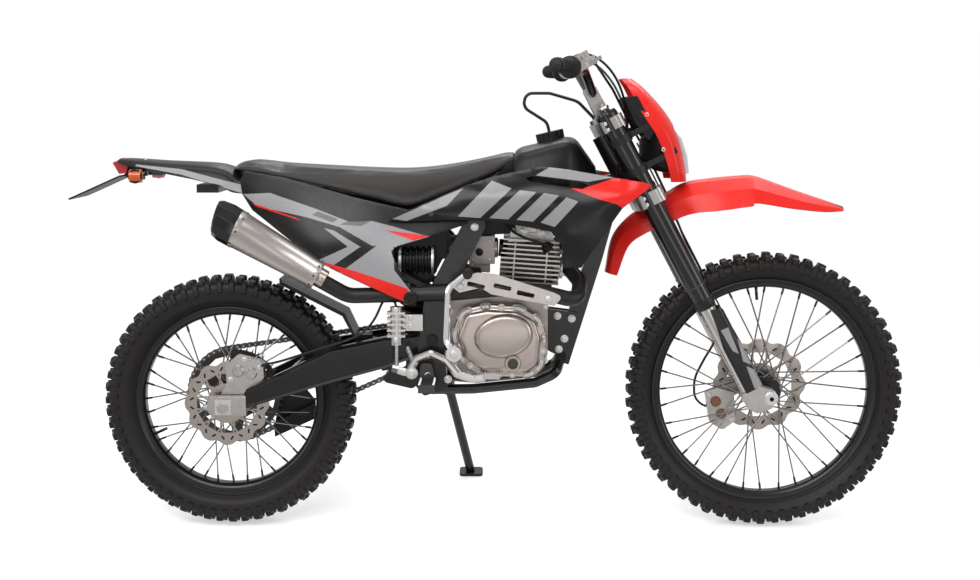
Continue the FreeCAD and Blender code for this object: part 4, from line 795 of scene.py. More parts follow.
def spoke_surfaces(wheel):
    """Round spokes with a head at the flange and a nipple at the rim. Each one leaves a flange 60 degrees
    round from its nipple, by turns on the flange's inside and its outside."""
    k = np.arange(SPOKES)
    side = np.where(k % 2 == 0, 1.0, -1.0)
    leading = np.where(k // 2 % 2 == 0, 1.0, -1.0)
    angle = 2 * math.pi / SPOKES * k

    def at(angle, radius, lateral):
        return np.stack([radius * np.sin(angle), lateral, radius * np.cos(angle)], 1) + wheel["centre"]
    start = at(angle - LACING * leading, wheel["flange"] - 2.5, side * (FLANGE_Y + 6.3 * leading))
    end = at(angle, wheel["rim"][0] - RIM_DEPTH - 0.05, side * wheel["spoke_row"])
    along = (end - start) / np.linalg.norm(end - start, axis=1, keepdims=True)
    wires = bars(start, end - along * 4, 1.9)
    heads = bars(start - along, start + along * 7, 2.2)
    nipples = bars(end - along * 15, end - along * 0.6, 2.9)
    tips = bars(end - along * 17, end - along * 14.5, 2.3)
    return wires + (0,), heads + (0,), nipples + (1,), tips + (1,)


def wave(radius, depth, waves, count, phase=0.0, power=1.0):
    """Closed curve in (x, z) whose radius falls by depth at every wave: radius - depth * ((1 - cos) / 2) **
    power."""
    a = np.linspace(0, 2 * math.pi, count, endpoint=False)
    r = radius - depth * ((1 - np.cos(waves * a + phase)) / 2) ** power
    return np.stack([r * np.sin(a), r * np.cos(a)], 1)


def disc_surfaces(wheel, waves=12):
    """Brake disc: scalloped track, an open ring of slanted arms, an inner ring, and dark slots in the
    track."""
    radius, y = wheel["disc"]
    t = DISC_HALF
    move = np.array(wheel["centre"])[::2]
    track_in = radius * 0.72
    rings = [band(wave(radius, radius * 0.075, waves, 360, power=1.6) + move,
                  wave(track_in, radius * 0.02, waves, 360, math.pi) + move, y - t, y + t),
             band(wave(radius * 0.47, 0, 1, 96) + move, wave(DISC_SEAT_R, 0, 1, 96) + move, y - t, y + t)]
    for lean in (-1, 1):
        a = np.linspace(0, 2 * math.pi, waves, endpoint=False) + lean * 0.17
        b = a + lean * 0.16
        start = np.stack([np.sin(a), np.cos(a)], 1) * radius * 0.45 + move
        end = np.stack([np.sin(b), np.cos(b)], 1) * track_in * 1.02 + move
        d = end - start
        wide = np.stack([-d[:, 1], d[:, 0]], 1) / np.linalg.norm(d, axis=1, keepdims=True) * 2.1
        for p, q, w in zip(start, end, wide):
            rings.append(plate([p + w, q + w, q - w, p - w], y - t * 0.98, y + t * 0.98))
    slots = []
    for k in range(2 * waves):
        a = math.pi * (k + 0.5) / waves
        out, sideways = np.array([math.sin(a), math.cos(a)]), np.array([math.cos(a), -math.sin(a)])
        lean = (out + 0.8 * sideways * (1 if k % 2 else -1)) / 1.28
        wide = np.array([-lean[1], lean[0]]) * 2.3
        middle, reach = out * radius * 0.83 + move, lean * radius * 0.055
        corners = [middle - reach - wide, middle + reach - wide, middle + reach + wide, middle - reach + wide]
        slots.append(plate([(*corner, 2) for corner in corners], y - t * 1.06, y + t * 1.06))
    return rings, slots


class MOTORCYCLE_OT_tyres(bpy.types.Operator):
    """Knobbly tyres on the front and rear wheels"""

    bl_idname = "motorcycle.tyres"
    bl_label = "Tyres"

    def execute(self, context):
        for label, wheel in WHEELS.items():
            surfaces = tyre_surfaces(wheel, context.scene.motorcycle_sizes.lugs)
            make(label + "_tyre_rubber", surfaces, "tyre_rubber", label + "_wheel",
                 replaces=(label + "_tyre",), sharp=30)
        return {"FINISHED"}


class MOTORCYCLE_OT_wheels(bpy.types.Operator):
    """Rims, spokes, hubs, valves and brake discs"""

    bl_idname = "motorcycle.wheels"
    bl_label = "Wheels"

    def execute(self, context):
        stem = [(-4, 0), (-4, 6), (1, 6), (3, 4), (14, 3.4), (15, 4), (33, 3.6), (34, 3), (34, 0)]
        for label, wheel in WHEELS.items():
            body = label + "_wheel"
            make(label + "_rim_band", rim_surfaces(wheel), "rim_black", body, replaces=(label + "_rim",),
                 sharp=50)
            make(label + "_spoke_set", spoke_surfaces(wheel), ("spoke_steel", "rim_black"), body,
                 replaces=(label + "_spokes",))
            dress(label + "_hub", "rim_black", 0.6)
            angle = math.radians(wheel["valve"])
            out = np.array([math.sin(angle), 0.0, math.cos(angle)])
            foot = wheel["centre"] + out * (wheel["rim"][0] - 21)
            make(label + "_valve", [turned(stem, foot, -out, 20)], "rim_black", body, slot="rubber")
        for label, wheel in WHEELS.items():
            body = label + "_wheel"
            rings, slots = disc_surfaces(wheel)
            make(label + "_disc_slots", slots, "rim_black", body, slot="steel")
            make(label + "_brake_disc", rings, "disc_steel", body, replaces=(label + "_disc",), bevel=0.4,
                 segments=1)
        return {"FINISHED"}


# Chain

def chain_rollers():
    """Every roller's place on the closed run round both sprockets; the span is found by halving until LINKS
    fit."""
    big, small = (PITCH / (2 * math.sin(math.pi / n)) for n in (REAR_TEETH, FRONT_TEETH))
    near, far = 300.0, 900.0
    for _ in range(60):
        span = (near + far) / 2
        spread = math.asin((big - small) / span)
        run = span * math.cos(spread) / PITCH
        wrap = REAR_TEETH * (0.5 + spread / math.pi)
        turn = FRONT_TEETH * (0.5 - spread / math.pi)
        near, far = (span, far) if 2 * run + wrap + turn < LINKS else (near, span)
    top, bottom = CHAIN_RISE + math.pi / 2 - spread, CHAIN_RISE - math.pi / 2 + spread
    rear = np.array([0.0, REAR_R])
    front = rear + np.array([math.cos(CHAIN_RISE), math.sin(CHAIN_RISE)]) * span
    k = np.arange(LINKS) + 0.5

    def at(angle, radius, centre):
        return centre + radius * np.stack([np.cos(angle), np.sin(angle)], -1)

    def straight(start, end, done):
        return start + (end - start) * ((k - done) / run)[:, None]
    legs = [at(top + k * 2 * math.pi / REAR_TEETH, big, rear),
            straight(at(bottom, big, rear), at(bottom, small, front), wrap),
            at(bottom + (k - wrap - run) * 2 * math.pi / FRONT_TEETH, small, front),
            straight(at(top, small, front), at(top, big, rear), wrap + run + turn)]
    leg = np.searchsorted(np.cumsum([wrap, run, turn]), k, side="right")
    return np.stack(legs)[leg, np.arange(LINKS)]


class MOTORCYCLE_OT_chain(bpy.types.Operator):
    """Roller chain of inner and outer links round both sprockets"""

    bl_idname = "motorcycle.chain"
    bl_label = "Chain"

    def execute(self, context):
        places = chain_rollers()
        ahead = np.roll(places, -1, 0) - places
        along = ahead / np.linalg.norm(ahead, axis=1, keepdims=True)
        up = np.stack([-along[:, 1], along[:, 0]], 1)
        turn = np.linspace(-math.pi / 2, math.pi / 2, 5)
        # one link plate: a round end at each roller, with a waist between them
        end = np.stack([np.cos(turn), np.sin(turn)], 1) * LINK_HALF
        waist = LINK_HALF * 0.72
        local = np.concatenate(
            [end + (PITCH, 0), [(PITCH / 2, waist)], end[::-1] * (-1, 1), [(PITCH / 2, -waist)]])
        flat = places[:, None] + local[None, :, :1] * along[:, None] + local[None, :, 1:] * up[:, None]
        outer = np.arange(LINKS) % 2 == 0
        m = len(local)
        one = grid_faces(2, m, False, True).tolist() + [list(range(m)), list(range(m, 2 * m))]
        surfaces = []
        for side in SIDES:
            levels = [CHAIN_Y + side * np.where(outer, *y) for y in zip(OUTER_PLATE, INNER_PLATE)]
            walls = [np.insert(flat, 1, np.repeat(y[:, None], m, 1), 2) for y in levels]
            surfaces.append((np.stack(walls, 1).reshape(-1, 3), repeated(one, 2 * m, LINKS), 0))
        for half, radius, sides in ((PIN_HALF, PIN_R, 8), (ROLLER_HALF, ROLLER_R, 10)):
            start = np.insert(places, 1, CHAIN_Y - half, 1)
            surfaces.append(bars(start, start + (0, 2 * half, 0), radius, sides) + (1,))
        make("chain_links", surfaces, ("chain_steel", "steel"), replaces=("chain",), sharp=35)
        dress("rear_sprocket", "dark_steel", 0.4)
        return {"FINISHED"}


# Mouldings

# Shroud: x, lowest and highest z, and half width of each station
SHROUD_STATIONS = [
    (415, 788, 796, 154), (520, 789, 838, 158), (661, 787, 892, 156), (720, 780, 906, 159),
    (788, 766, 921, 164), (832, 738, 917, 170), (842, 677, 915, 172), (880, 677, 908, 176),
    (970, 798, 893, 180), (1050, 872, 880, 178)]
# Side panel: x, lowest and highest z, and half width below and above
PANEL_STATIONS = [
    (56, 846, 902, 112, 104), (84, 809, 896, 124, 108), (253, 686, 858, 170, 124), (423, 605, 820, 170, 132),
    (456, 595, 812, 172, 132), (480, 600, 812, 172, 132), (614, 640, 838, 146, 124)]


def arched(stations, along, across, faceted=False):
    """Sheet over the middle plane: each station stands square to the run, its right half mirrored to the
    left. A faceted sheet runs straight between the lines of a station, so that they stay as ridges."""
    run = np.array([(x, 0.0, z) for (x, z), _ in stations], float)
    t = np.gradient(run, axis=0)
    t /= np.linalg.norm(t, axis=1, keepdims=True)
    down = np.stack([t[:, 2], np.zeros(len(t)), -t[:, 0]], 1)
    down *= -np.sign(down[:, 2:])
    sections = []
    for place, fall, (_, half_line) in zip(run, down, stations):
        right = [place + (0, -half, 0) + fall * drop for half, drop in half_line]
        sections.append(right + [place] + [q * (1, -1, 1) for q in right[::-1]])
    sections = np.array(sections)
    if not faceted:
        return smooth_sheet(sections, along, across)
    rails = np.stack([smooth_line(sections[:, j], along) for j in range(sections.shape[1])], 1)
    at = np.linspace(0, rails.shape[1] - 1, across)
    low = np.minimum(at.astype(int), rails.shape[1] - 2)
    share = (at - low)[None, :, None]
    return rails[:, low] * (1 - share) + rails[:, low + 1] * share


class MOTORCYCLE_OT_fenders(bpy.types.Operator):
    """Long front fender with its rear tongue, and the rear fender with its stripe"""

    bl_idname = "motorcycle.fenders"
    bl_label = "Fenders"

    def execute(self, context):
        front = [
            ((954, 650), [(46, 26), (36, 8), (18, 1)]), ((972, 738), [(60, 40), (48, 14), (24, 2)]),
            ((1012, 788), [(68, 50), (56, 18), (28, 3)]), ((1064, 820), [(74, 56), (62, 22), (30, 3)]),
            ((1106, 848), [(84, 62), (70, 25), (36, 3.5)]), ((1150, 872), [(100, 70), (84, 29), (44, 4)]),
            ((1210, 882), [(110, 72), (93, 30), (48, 4.5)]), ((1270, 888), [(110, 70), (93, 29), (48, 4.5)]),
            ((1308, 890), [(109, 66), (92, 28), (48, 4.5)]), ((1326, 887), [(108, 62), (91, 28), (47, 4.5)]),
            ((1420, 854), [(88, 42), (74, 21), (38, 3.5)]), ((1500, 827), [(58, 24), (47, 12), (24, 2.5)]),
            ((1544, 812), [(26, 8), (18, 4), (9, 1)])]
        red = finish("fender_red", "moulding_red", 0.3, specular=0.3,
                     patches=[((0.02, 0.02, 0.021), [[(1470, 846), (1540, 812), (1552, 822), (1500, 852)],
                                                     [(1486, 862), (1500, 838), (1532, 836), (1520, 858)]])])
        sheet = shell(arched(front, 120, 49, True), 3.2, side=-1.0)
        make("front_fender_moulding", [sheet], red, "steering", slot="red_plastic",
             replaces=("front_fender",), bevel=1.2, sharp=19)
        rear = [((100, 868), [(96, 20), (84, 9), (50, 2)]), ((46, 890), [(92, 40), (80, 14), (50, 3)]),
                ((24, 907), [(90, 43), (78, 14), (48, 3)]), ((0, 916), [(89, 44), (76, 14), (46, 3)]),
                ((-25, 920), [(88, 44), (74, 13), (44, 2.5)]), ((-145, 926), [(72, 24), (60, 9), (36, 2)]),
                ((-225, 931), [(56, 16), (46, 6), (28, 1.5)]), ((-264, 932), [(40, 8), (32, 3), (18, 1)])]
        black = finish(
            "rear_fender_black", (0.009, 0.0082, 0.0078), 0.36, specular=0.25, grain=0.08, grain_scale=2200,
            patches=[("graphic_grey", [[(-215, 921), (-97, 910), (-97, 897), (-215, 917)],
                                       [(-97, 910), (67, 869), (53, 853), (-97, 897)],
                                       [(67, 869), (108, 858), (53, 853)]])])
        make("rear_fender_moulding", [shell(arched(rear, 60, 41), 3.0, side=1.0)], black,
             slot="black_plastic", replaces=("rear_fender",), bevel=1.0, sharp=60)
        places = [(-25, -34, 917.5), (-25, 34, 917.5), (-199, -22, 929), (-199, 22, 929)]
        make("fender_bolts", [hexagon_bolts(places, UP, 4.5, 3.5)], "steel")
        return {"FINISHED"}


class MOTORCYCLE_OT_side_mouldings(bpy.types.Operator):
    """Radiator-style shrouds and rear side panels, on both sides, with their generic striping"""

    bl_idname = "motorcycle.side_mouldings"
    bl_label = "Shrouds and side panels"

    def execute(self, context):
        red, grey = "moulding_red", "graphic_grey"
        black = (0.0075, 0.0068, 0.0064)
        control = []
        for x, low, high, out in SHROUD_STATIONS:
            rise = high - low
            control += [(x, low, -out + 10), (x, low + rise * 0.3, -out), (x, low + rise * 0.62, -out),
                        (x, high, -out + min(34, rise * 0.3))]
        height = lateral(control)
        edge = [
            (417, 789), (430, 797), (510, 834), (609, 875), (664, 893), (720, 906), (788, 920), (842, 915),
            (880, 908), (970, 893), (1030, 884), (1052, 877), (1044, 868), (982, 822), (932, 748), (884, 677),
            (843, 676), (838, 690), (836, 732), (811, 764), (744, 776), (660, 789), (560, 791), (453, 787)]
        slot_hole = [(750, 892), (766, 897), (884, 882), (903, 875), (886, 867), (760, 884)]
        shroud = moulded(edge, height, [slot_hole])
        paint = finish(
            "shroud_graphic", black, 0.24, specular=0.28,
            patches=[(grey, [[(428, 794), (462, 789), (560, 826), (600, 868), (560, 852)],
                             [(586, 800), (640, 796), (716, 868), (668, 886)],
                             [(662, 796), (708, 793), (776, 860), (736, 864)],
                             [(728, 792), (768, 788), (830, 852), (794, 858)],
                             [(786, 786), (820, 776), (876, 838), (848, 848)],
                             [(774, 899), (900, 884), (964, 895), (921, 905), (808, 918)]]),
                     (red, [[(905, 874), (982, 822), (1060, 872), (1054, 884), (962, 893)],
                            [(838, 866), (926, 843), (982, 822), (905, 874)]])])
        places = np.array([(768.0, 914.0), (522.0, 806.0), (836.0, 716.0)])
        seats = np.insert(places, 1, height(places), 1)
        screws = [socket_bolts(seats * (1, -side, 1), (0, side, 0), 6.0, 3.0) for side in SIDES]
        make("moulding_screws", screws, "dark_steel")
        make("shroud_mouldings", [both(shroud)], paint, slot="panel_graphic", replaces=("shrouds",),
             bevel=0.9, sharp=60)
        control = []
        for x, low, high, out_low, out_high in PANEL_STATIONS:
            rise = high - low
            control += [(x, low, -out_low + 4), (x, low + rise * 0.12, -out_low),
                        (x, low + rise * 0.7, -0.35 * out_low - 0.65 * out_high), (x, high, -out_high)]
        height = lateral(control)
        edge = [(58, 850), (52, 884), (64, 907), (160, 892), (250, 868), (330, 846), (423, 824), (465, 815),
                (500, 822), (560, 806), (612, 788), (608, 780), (519, 751), (440, 728), (425, 716),
                (430, 700), (462, 640), (484, 612), (484, 596), (472, 589), (456, 594), (400, 617),
                (308, 660), (256, 686), (160, 755), (84, 812)]
        panel = moulded(edge, height)
        dark = (0.13, 0.13, 0.135)
        paint = finish(
            "panel_graphic_paint", black, 0.26, specular=0.28,
            patches=[(grey, [[(60, 851), (127, 855), (236, 819), (215, 798), (98, 822)],
                             [(215, 798), (236, 819), (324, 786), (300, 774)],
                             [(300, 774), (324, 786), (378, 788), (428, 775), (517, 750), (440, 726),
                              (384, 726)], [(384, 729), (430, 729), (433, 669), (340, 656), (296, 664)],
                             [(340, 660), (433, 671), (473, 620), (458, 596)],
                             [(262, 772), (286, 766), (352, 726), (322, 726)],
                             [(322, 728), (352, 728), (264, 668), (238, 690)]]),
                     (dark, [[(232, 803), (246, 811), (296, 793), (282, 785)],
                             [(300, 780), (318, 787), (374, 787), (352, 776)]]),
                     (black, [[(434, 706), (484, 742), (472, 704), (448, 660)],
                              [(296, 666), (300, 664), (388, 728), (384, 730)]]),
                     (red, [[(84, 830), (94, 822), (204, 789), (192, 796)],
                            [(408, 766), (519, 752), (478, 741)],
                            [(250, 694), (310, 661), (456, 592), (486, 596), (462, 628), (340, 668)]])])
        make("side_panel_mouldings", [both(panel)], paint, slot="panel_graphic", replaces=("side_panels",),
             bevel=0.9, sharp=60)
        return {"FINISHED"}


class MOTORCYCLE_OT_tank(bpy.types.Operator):
    """Fuel tank, with the filler cap and its vent hose"""

    bl_idname = "motorcycle.tank"
    bl_label = "Fuel tank"

    def execute(self, context):
        def section(x, low, high, half):
            right = [(half * 0.5, low - 2), (half * 0.8, low), (half, low + (high - low) * 0.35),
                     (half * 0.96, low + (high - low) * 0.66), (half * 0.8, high - 16),
                     (half * 0.5, high - 5), (half * 0.2, high - 0.5)]
            return [(x, -y, z) for y, z in right] + [(x, y, z) for y, z in right[::-1]]
        sections = [section(655, 828, 882, 64), section(706, 814, 890, 90), section(728, 807, 954, 106),
                    section(779, 796, 972, 120), section(850, 802, 988, 112), section(874, 808, 983, 96),
                    section(900, 818, 951, 72), section(925, 832, 915, 50)]
        sheet = smooth_sheet(np.array(sections, float), 70, 61)
        make("fuel_tank_moulding", [ringed(sheet)], "plastic_black", slot="tank_black",
             replaces=("fuel_tank",), bevel=3.0, sharp=55)
        dress("fuel_cap", "plastic_black", 1.0)
        dress("vent_hose", "hose_rubber", 0.3)
        return {"FINISHED"}


# Headlamp mask: z, front, rear and half width of each level
MASK_LEVELS = [(1132.0, 1012.0, 984.0, 40.0), (1110.0, 1040.0, 1000.0, 74.0), (1045.0, 1098.0, 1034.0, 104.0),
               (989.0, 1128.0, 1070.0, 112.0), (913.0, 1146.0, 1098.0, 106.0), (880.0, 1150.0, 1106.0, 96.0)]


class MOTORCYCLE_OT_headlamp(bpy.types.Operator):
    """Headlamp mask with its window, the lamp's clear lens and the rubber straps"""

    bl_idname = "motorcycle.headlamp"
    bl_label = "Headlamp"

    def execute(self, context):
        def level(z, front, rear, half):
            right = [(rear, -half), (rear + (front - rear) * 0.5, -half * 0.94),
                     (rear + (front - rear) * 0.82, -half * 0.72), (front, -half * 0.3)]
            return [(x, y, z) for x, y in right] + [(x, -y, z) for x, y in right[::-1]]
        sheet = smooth_sheet(np.array([level(*m) for m in MASK_LEVELS]), 73, 97)
        window = outline([(-62, 1016, 14), (62, 1016, 14), (48, 898, 18), (-48, 898, 18)], "yz", 0, 7)[:, 1:]
        flat = sheet.reshape(-1, 3)
        middles = (sheet[:-1, :-1] + sheet[1:, 1:]) / 2
        drop = (inside(middles.reshape(-1, 3)[:, 1:], window) & (middles[..., 0].reshape(-1) > 1050)).reshape(
            72, 96)
        # points between dropped faces and kept ones move onto the window's edge
        beside = np.stack([drop[:-1, :-1], drop[1:, :-1], drop[:-1, 1:], drop[1:, 1:]])
        at = np.pad(beside.any(0) & ~beside.all(0), 1).reshape(-1)
        flat[at, 1:] = nearest_on(flat[at, 1:], window)[0]
        make("headlamp_mask_moulding", [shell(flat.reshape(sheet.shape), 3.2, side=1.0, keep=~drop)],
             "red_moulding", "steering", replaces=("headlamp_mask",), bevel=0.9, sharp=60)
        dress("headlamp_lens", clear_lens(), 2.0)
        dress("mask_straps", "hose_rubber", 0.8)
        return {"FINISHED"}


def clear_lens():
    """Clear lamp plastic: a glossy coat over pale upright lines painted into its colour: a painted reflection
    of the lit reflector behind it.
    """
    material, t, shader, where = blank("clear_lens")
    for key, value in (("Metallic", 0.35), ("Coat Weight", 1.0), ("Coat Roughness", 0.03)):
        t.feed(shader, key, value)
    lines = t.place(brushed_group(), Vector=where, Stretch=(20.0, 160.0, 30.0))
    # the pale lines in the base colour are painted reflection, standing for the reflector's glints behind the
    # lens
    t.feed(shader, "Base Color", t.mix(lines, (0.42, 0.43, 0.45), (0.86, 0.87, 0.88)))
    t.feed(shader, "Roughness", t.spread(lines, 0.3, 0.7, 0.12, 0.3))
    return material


# Seat

def seat_surface(shrink=0.0):
    """Saddle lofted through sections: flat crown, rounded shoulders and sides that fall in towards the
    panels."""
    def section(x, low, high, half):
        rise = high - low
        right = [(half * 0.4, low + 1), (half - 12, low), (half - 2, low + 3), (half, low + rise * 0.3),
                 (half * 0.965, low + rise * 0.62), (half * 0.86, high - 11), (half * 0.66, high - 3.5),
                 (half * 0.34, high - 0.6)]
        right = [(y - shrink * min(1.0, y / 30.0), z - (shrink if z > low + rise * 0.6 else 0))
                 for y, z in right]
        return [(x, -y, z) for y, z in right] + [(x, y, z) for y, z in right[::-1]]
    sections = [
        section(25, 907, 915, 44), section(36, 905, 924, 66), section(64, 902, 930, 80),
        section(160, 886, 921, 100), section(276, 863, 914, 116), section(380, 840, 909, 124),
        section(467, 822, 908, 124), section(536, 843, 914, 108), section(620, 878, 928, 88),
        section(690, 907, 944, 74), section(723, 926, 953, 60)]
    return ringed(smooth_sheet(np.array(sections, float), 110, 64))


def padded_seat(material):
    """The saddle as foam under a cover: remeshed, blown up a little by a cloth pass that may move no point
    over 5 mm."""
    obj = make("seat_cushion", [seat_surface(shrink=2.5)], material, slot="seat_cover", replaces=("seat",),
               sharp=180)
    bpy.context.view_layer.objects.active = obj
    obj.select_set(True)
    again = obj.modifiers.new("Net", "REMESH")
    again.mode, again.voxel_size = "VOXEL", 0.006
    bpy.ops.object.modifier_apply(modifier="Net")
    count = len(obj.data.vertices)
    rest = np.empty(count * 3)
    obj.data.vertices.foreach_get("co", rest)
    rest = rest.reshape(-1, 3)
    upright_z = rest[:, 2] * math.cos(LEAN) + rest[:, 1] * math.sin(LEAN)
    # the lowest band is stapled to the base
    stations = np.linspace(rest[:, 0].min(), rest[:, 0].max(), 40)
    low = np.array([upright_z[np.abs(rest[:, 0] - x) < 0.02].min() for x in stations])
    floor = np.interp(rest[:, 0], stations, low)
    held = obj.vertex_groups.new(name="base")
    held.add(np.nonzero(upright_z < floor + 0.011)[0].tolist(), 1.0, "REPLACE")
    cloth = obj.modifiers.new("Cloth", "CLOTH")
    settings = cloth.settings
    settings.use_pressure = True
    settings.uniform_pressure_force = 4.0
    settings.effector_weights.gravity = 0.0
    settings.vertex_group_mass = "base"
    settings.tension_stiffness = 60.0
    settings.bending_stiffness = 8.0
    for moment in range(1, 21):
        bpy.context.scene.frame_set(moment)
    posed = obj.evaluated_get(bpy.context.evaluated_depsgraph_get()).data
    swollen = np.empty(count * 3)
    posed.vertices.foreach_get("co", swollen)
    move = swollen.reshape(-1, 3) - rest
    length = np.linalg.norm(move, axis=1, keepdims=True)
    move *= np.minimum(1.0, MOST_SWELL / np.maximum(length, 1e-9))
    obj.modifiers.remove(cloth)
    bpy.context.scene.frame_set(1)
    obj.data.vertices.foreach_set("co", (rest + move).reshape(-1))
    finer = obj.modifiers.new("Fine", "SUBSURF")
    finer.levels = finer.render_levels = 1
    obj.data.polygons.foreach_set("use_smooth", np.ones(len(obj.data.polygons), bool))
    obj.select_set(False)
    return obj


def seat_cover():
    """Vinyl with a fine grain on the crown and a coarse vertical rib on the sides, told apart by the
    surface's slope."""
    material, t, shader, where = blank("seat_cover_vinyl")
    normal = where.node.outputs[1]
    sideways = t.add(
        "ShaderNodeVectorMath", out=1, operation="DOT_PRODUCT", inputs={0: normal, 1: leaned(LEFT)})
    side = t.spread(t.maths("ABSOLUTE", sideways), 0.55, 0.72, 0.0, 1.0)
    grain = t.place(grain_group(), Vector=where, Scale=1500.0)
    ribs = t.place(brushed_group(), Vector=where, Stretch=(420.0, 420.0, 90.0))
    off = t.maths("ABSOLUTE", t.maths("SUBTRACT", side, 0.5))
    seam = t.spread(off, 0.0, 0.3, 1.0, 0.0)
    cover = t.mix(side, (0.021, 0.018, 0.017), (0.03, 0.0255, 0.025))
    t.feed(shader, "Specular IOR Level", 0.35)
    t.feed(shader, "Base Color", t.mix(seam, cover, (0.008, 0.007, 0.007)))
    t.feed(shader, "Roughness", t.spread(side, 0.0, 1.0, 0.36, 0.6))
    height = t.maths("ADD", t.maths("MULTIPLY", ribs, side), t.maths("MULTIPLY", grain, 0.2))
    height = t.maths("SUBTRACT", height, t.maths("MULTIPLY", seam, 1.5))
    bump = t.add("ShaderNodeBump", inputs={"Height": height, "Strength": 0.7, "Distance": 0.0007})
    t.feed(shader, "Normal", bump)
    return material


class MOTORCYCLE_OT_seat(bpy.types.Operator):
    """Long padded saddle with its cover"""

    bl_idname = "motorcycle.seat"
    bl_label = "Seat"

    def execute(self, context):
        padded_seat(seat_cover())
        return {"FINISHED"}


# Everything that keeps its solid

# CAD node, finish, and width of its rounded edges in mm
PLAIN_PIECES = [
    ("frame", "frame_black", 1.5), ("subframe", "frame_black", 0.6), ("swingarm", "gloss_black", 3.0),
    ("pivot_bolt", "plastic_black", 1.0), ("shock", "frame_black", 0.8), ("engine_cases", "cast_alloy", 2.5),
    ("engine_cylinder", "fin_alloy", 1.2), ("carburettor", "cast_alloy", 1.5),
    ("airbox", "plastic_black", 2.0), ("exhaust_pipe", "pipe_black", 0.3),
    ("heat_shield", "shield_steel", 0.8), ("tail_lamp", "lamp_red", 1.5),
    ("plate_bracket", "plastic_black", 0.8), ("indicators", "lamp_amber", 1.0),
    ("foot_pegs", "dark_steel", 0.8), ("brake_pedal", "machined_alloy", 0.8), ("gear_lever", "steel", 0.8),
    ("kick_start", "chrome", 0.8), ("chain_guide", "plastic_black", 0.6),
    ("rear_caliper", "machined_alloy", 1.5), ("rear_master_cylinder", "machined_alloy", 0.8),
    ("rear_axle", "machined_alloy", 1.0), ("mud_flap", "plastic_black", 0.8),
    ("side_stand", "frame_black", 1.0), ("triple_clamps", "machined_alloy", 2.0),
    ("fork_outer_tubes", "fork_black", 0.5), ("fork_legs", "machined_alloy", 1.0),
    ("fork_guards", "guard_graphic", 0.8), ("handlebar", "fork_black", 0.3), ("grips", "grip_rubber", 0.5),
    ("hand_controls", "machined_alloy", 0.8), ("front_caliper", "machined_alloy", 1.5),
    ("brake_hose", "hose_rubber", 0.3), ("front_axle", "steel", 0.8)]


class MOTORCYCLE_OT_plain_pieces(bpy.types.Operator):
    """Frame, engine, exhaust and fittings: the solids with their finishes and rounded edges"""

    bl_idname = "motorcycle.plain_pieces"
    bl_label = "Frame, engine and fittings"

    def execute(self, context):
        for node, kind, bevel in PLAIN_PIECES:
            dress(node, kind, bevel)
        return {"FINISHED"}


# Engine, exhaust and fittings in detail

def cable(name, points, radius, body="chassis"):
    """Held cable: a round section along one smooth NURBS line through the given control points."""
    curve = bpy.data.curves.new(name, "CURVE")
    curve.dimensions = "3D"
    curve.bevel_depth, curve.bevel_resolution = radius * 0.001, 3
    curve.resolution_u, curve.use_fill_caps = 10, True
    line = curve.splines.new("NURBS")
    line.points.add(len(points) - 1)
    line.points.foreach_set("co", np.insert(parked(points), 3, 1.0, 1).reshape(-1))
    line.order_u, line.use_endpoint_u = 3, True
    curve.materials.append(material_of("hose_rubber"))
    obj = bpy.data.objects.new(name, curve)
    bpy.context.collection.objects.link(obj)
    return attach(obj, body)


def around(centre, radius, count, phase=0.0):
    """Places on a ring in the (x, z) plane."""
    a = phase + np.linspace(0, 2 * math.pi, count, endpoint=False)
    return radius * np.stack([np.cos(a), 0 * a, np.sin(a)], 1) + centre


def collar(centre, axis, inner, outer, length, steps=40):
    """Round band about axis with softened edges."""
    h = length / 2
    profile = [(-h, inner), (-h, outer - 1), (-h + 1, outer), (h - 1, outer), (h, outer - 1), (h, inner)]
    return turned(profile, centre, axis, steps)


def coil(start, end, radius, wire, turns):
    """Spring: a round wire on a helix about the line from start to end."""
    start, end = np.asarray(start, float), np.asarray(end, float)
    u, w = square_to((end - start) / np.linalg.norm(end - start))
    t = np.linspace(0, 1, 160)[:, None]
    a = 2 * math.pi * turns * t
    return hose(start + (end - start) * t + radius * (np.cos(a) * u + np.sin(a) * w), wire, 8)


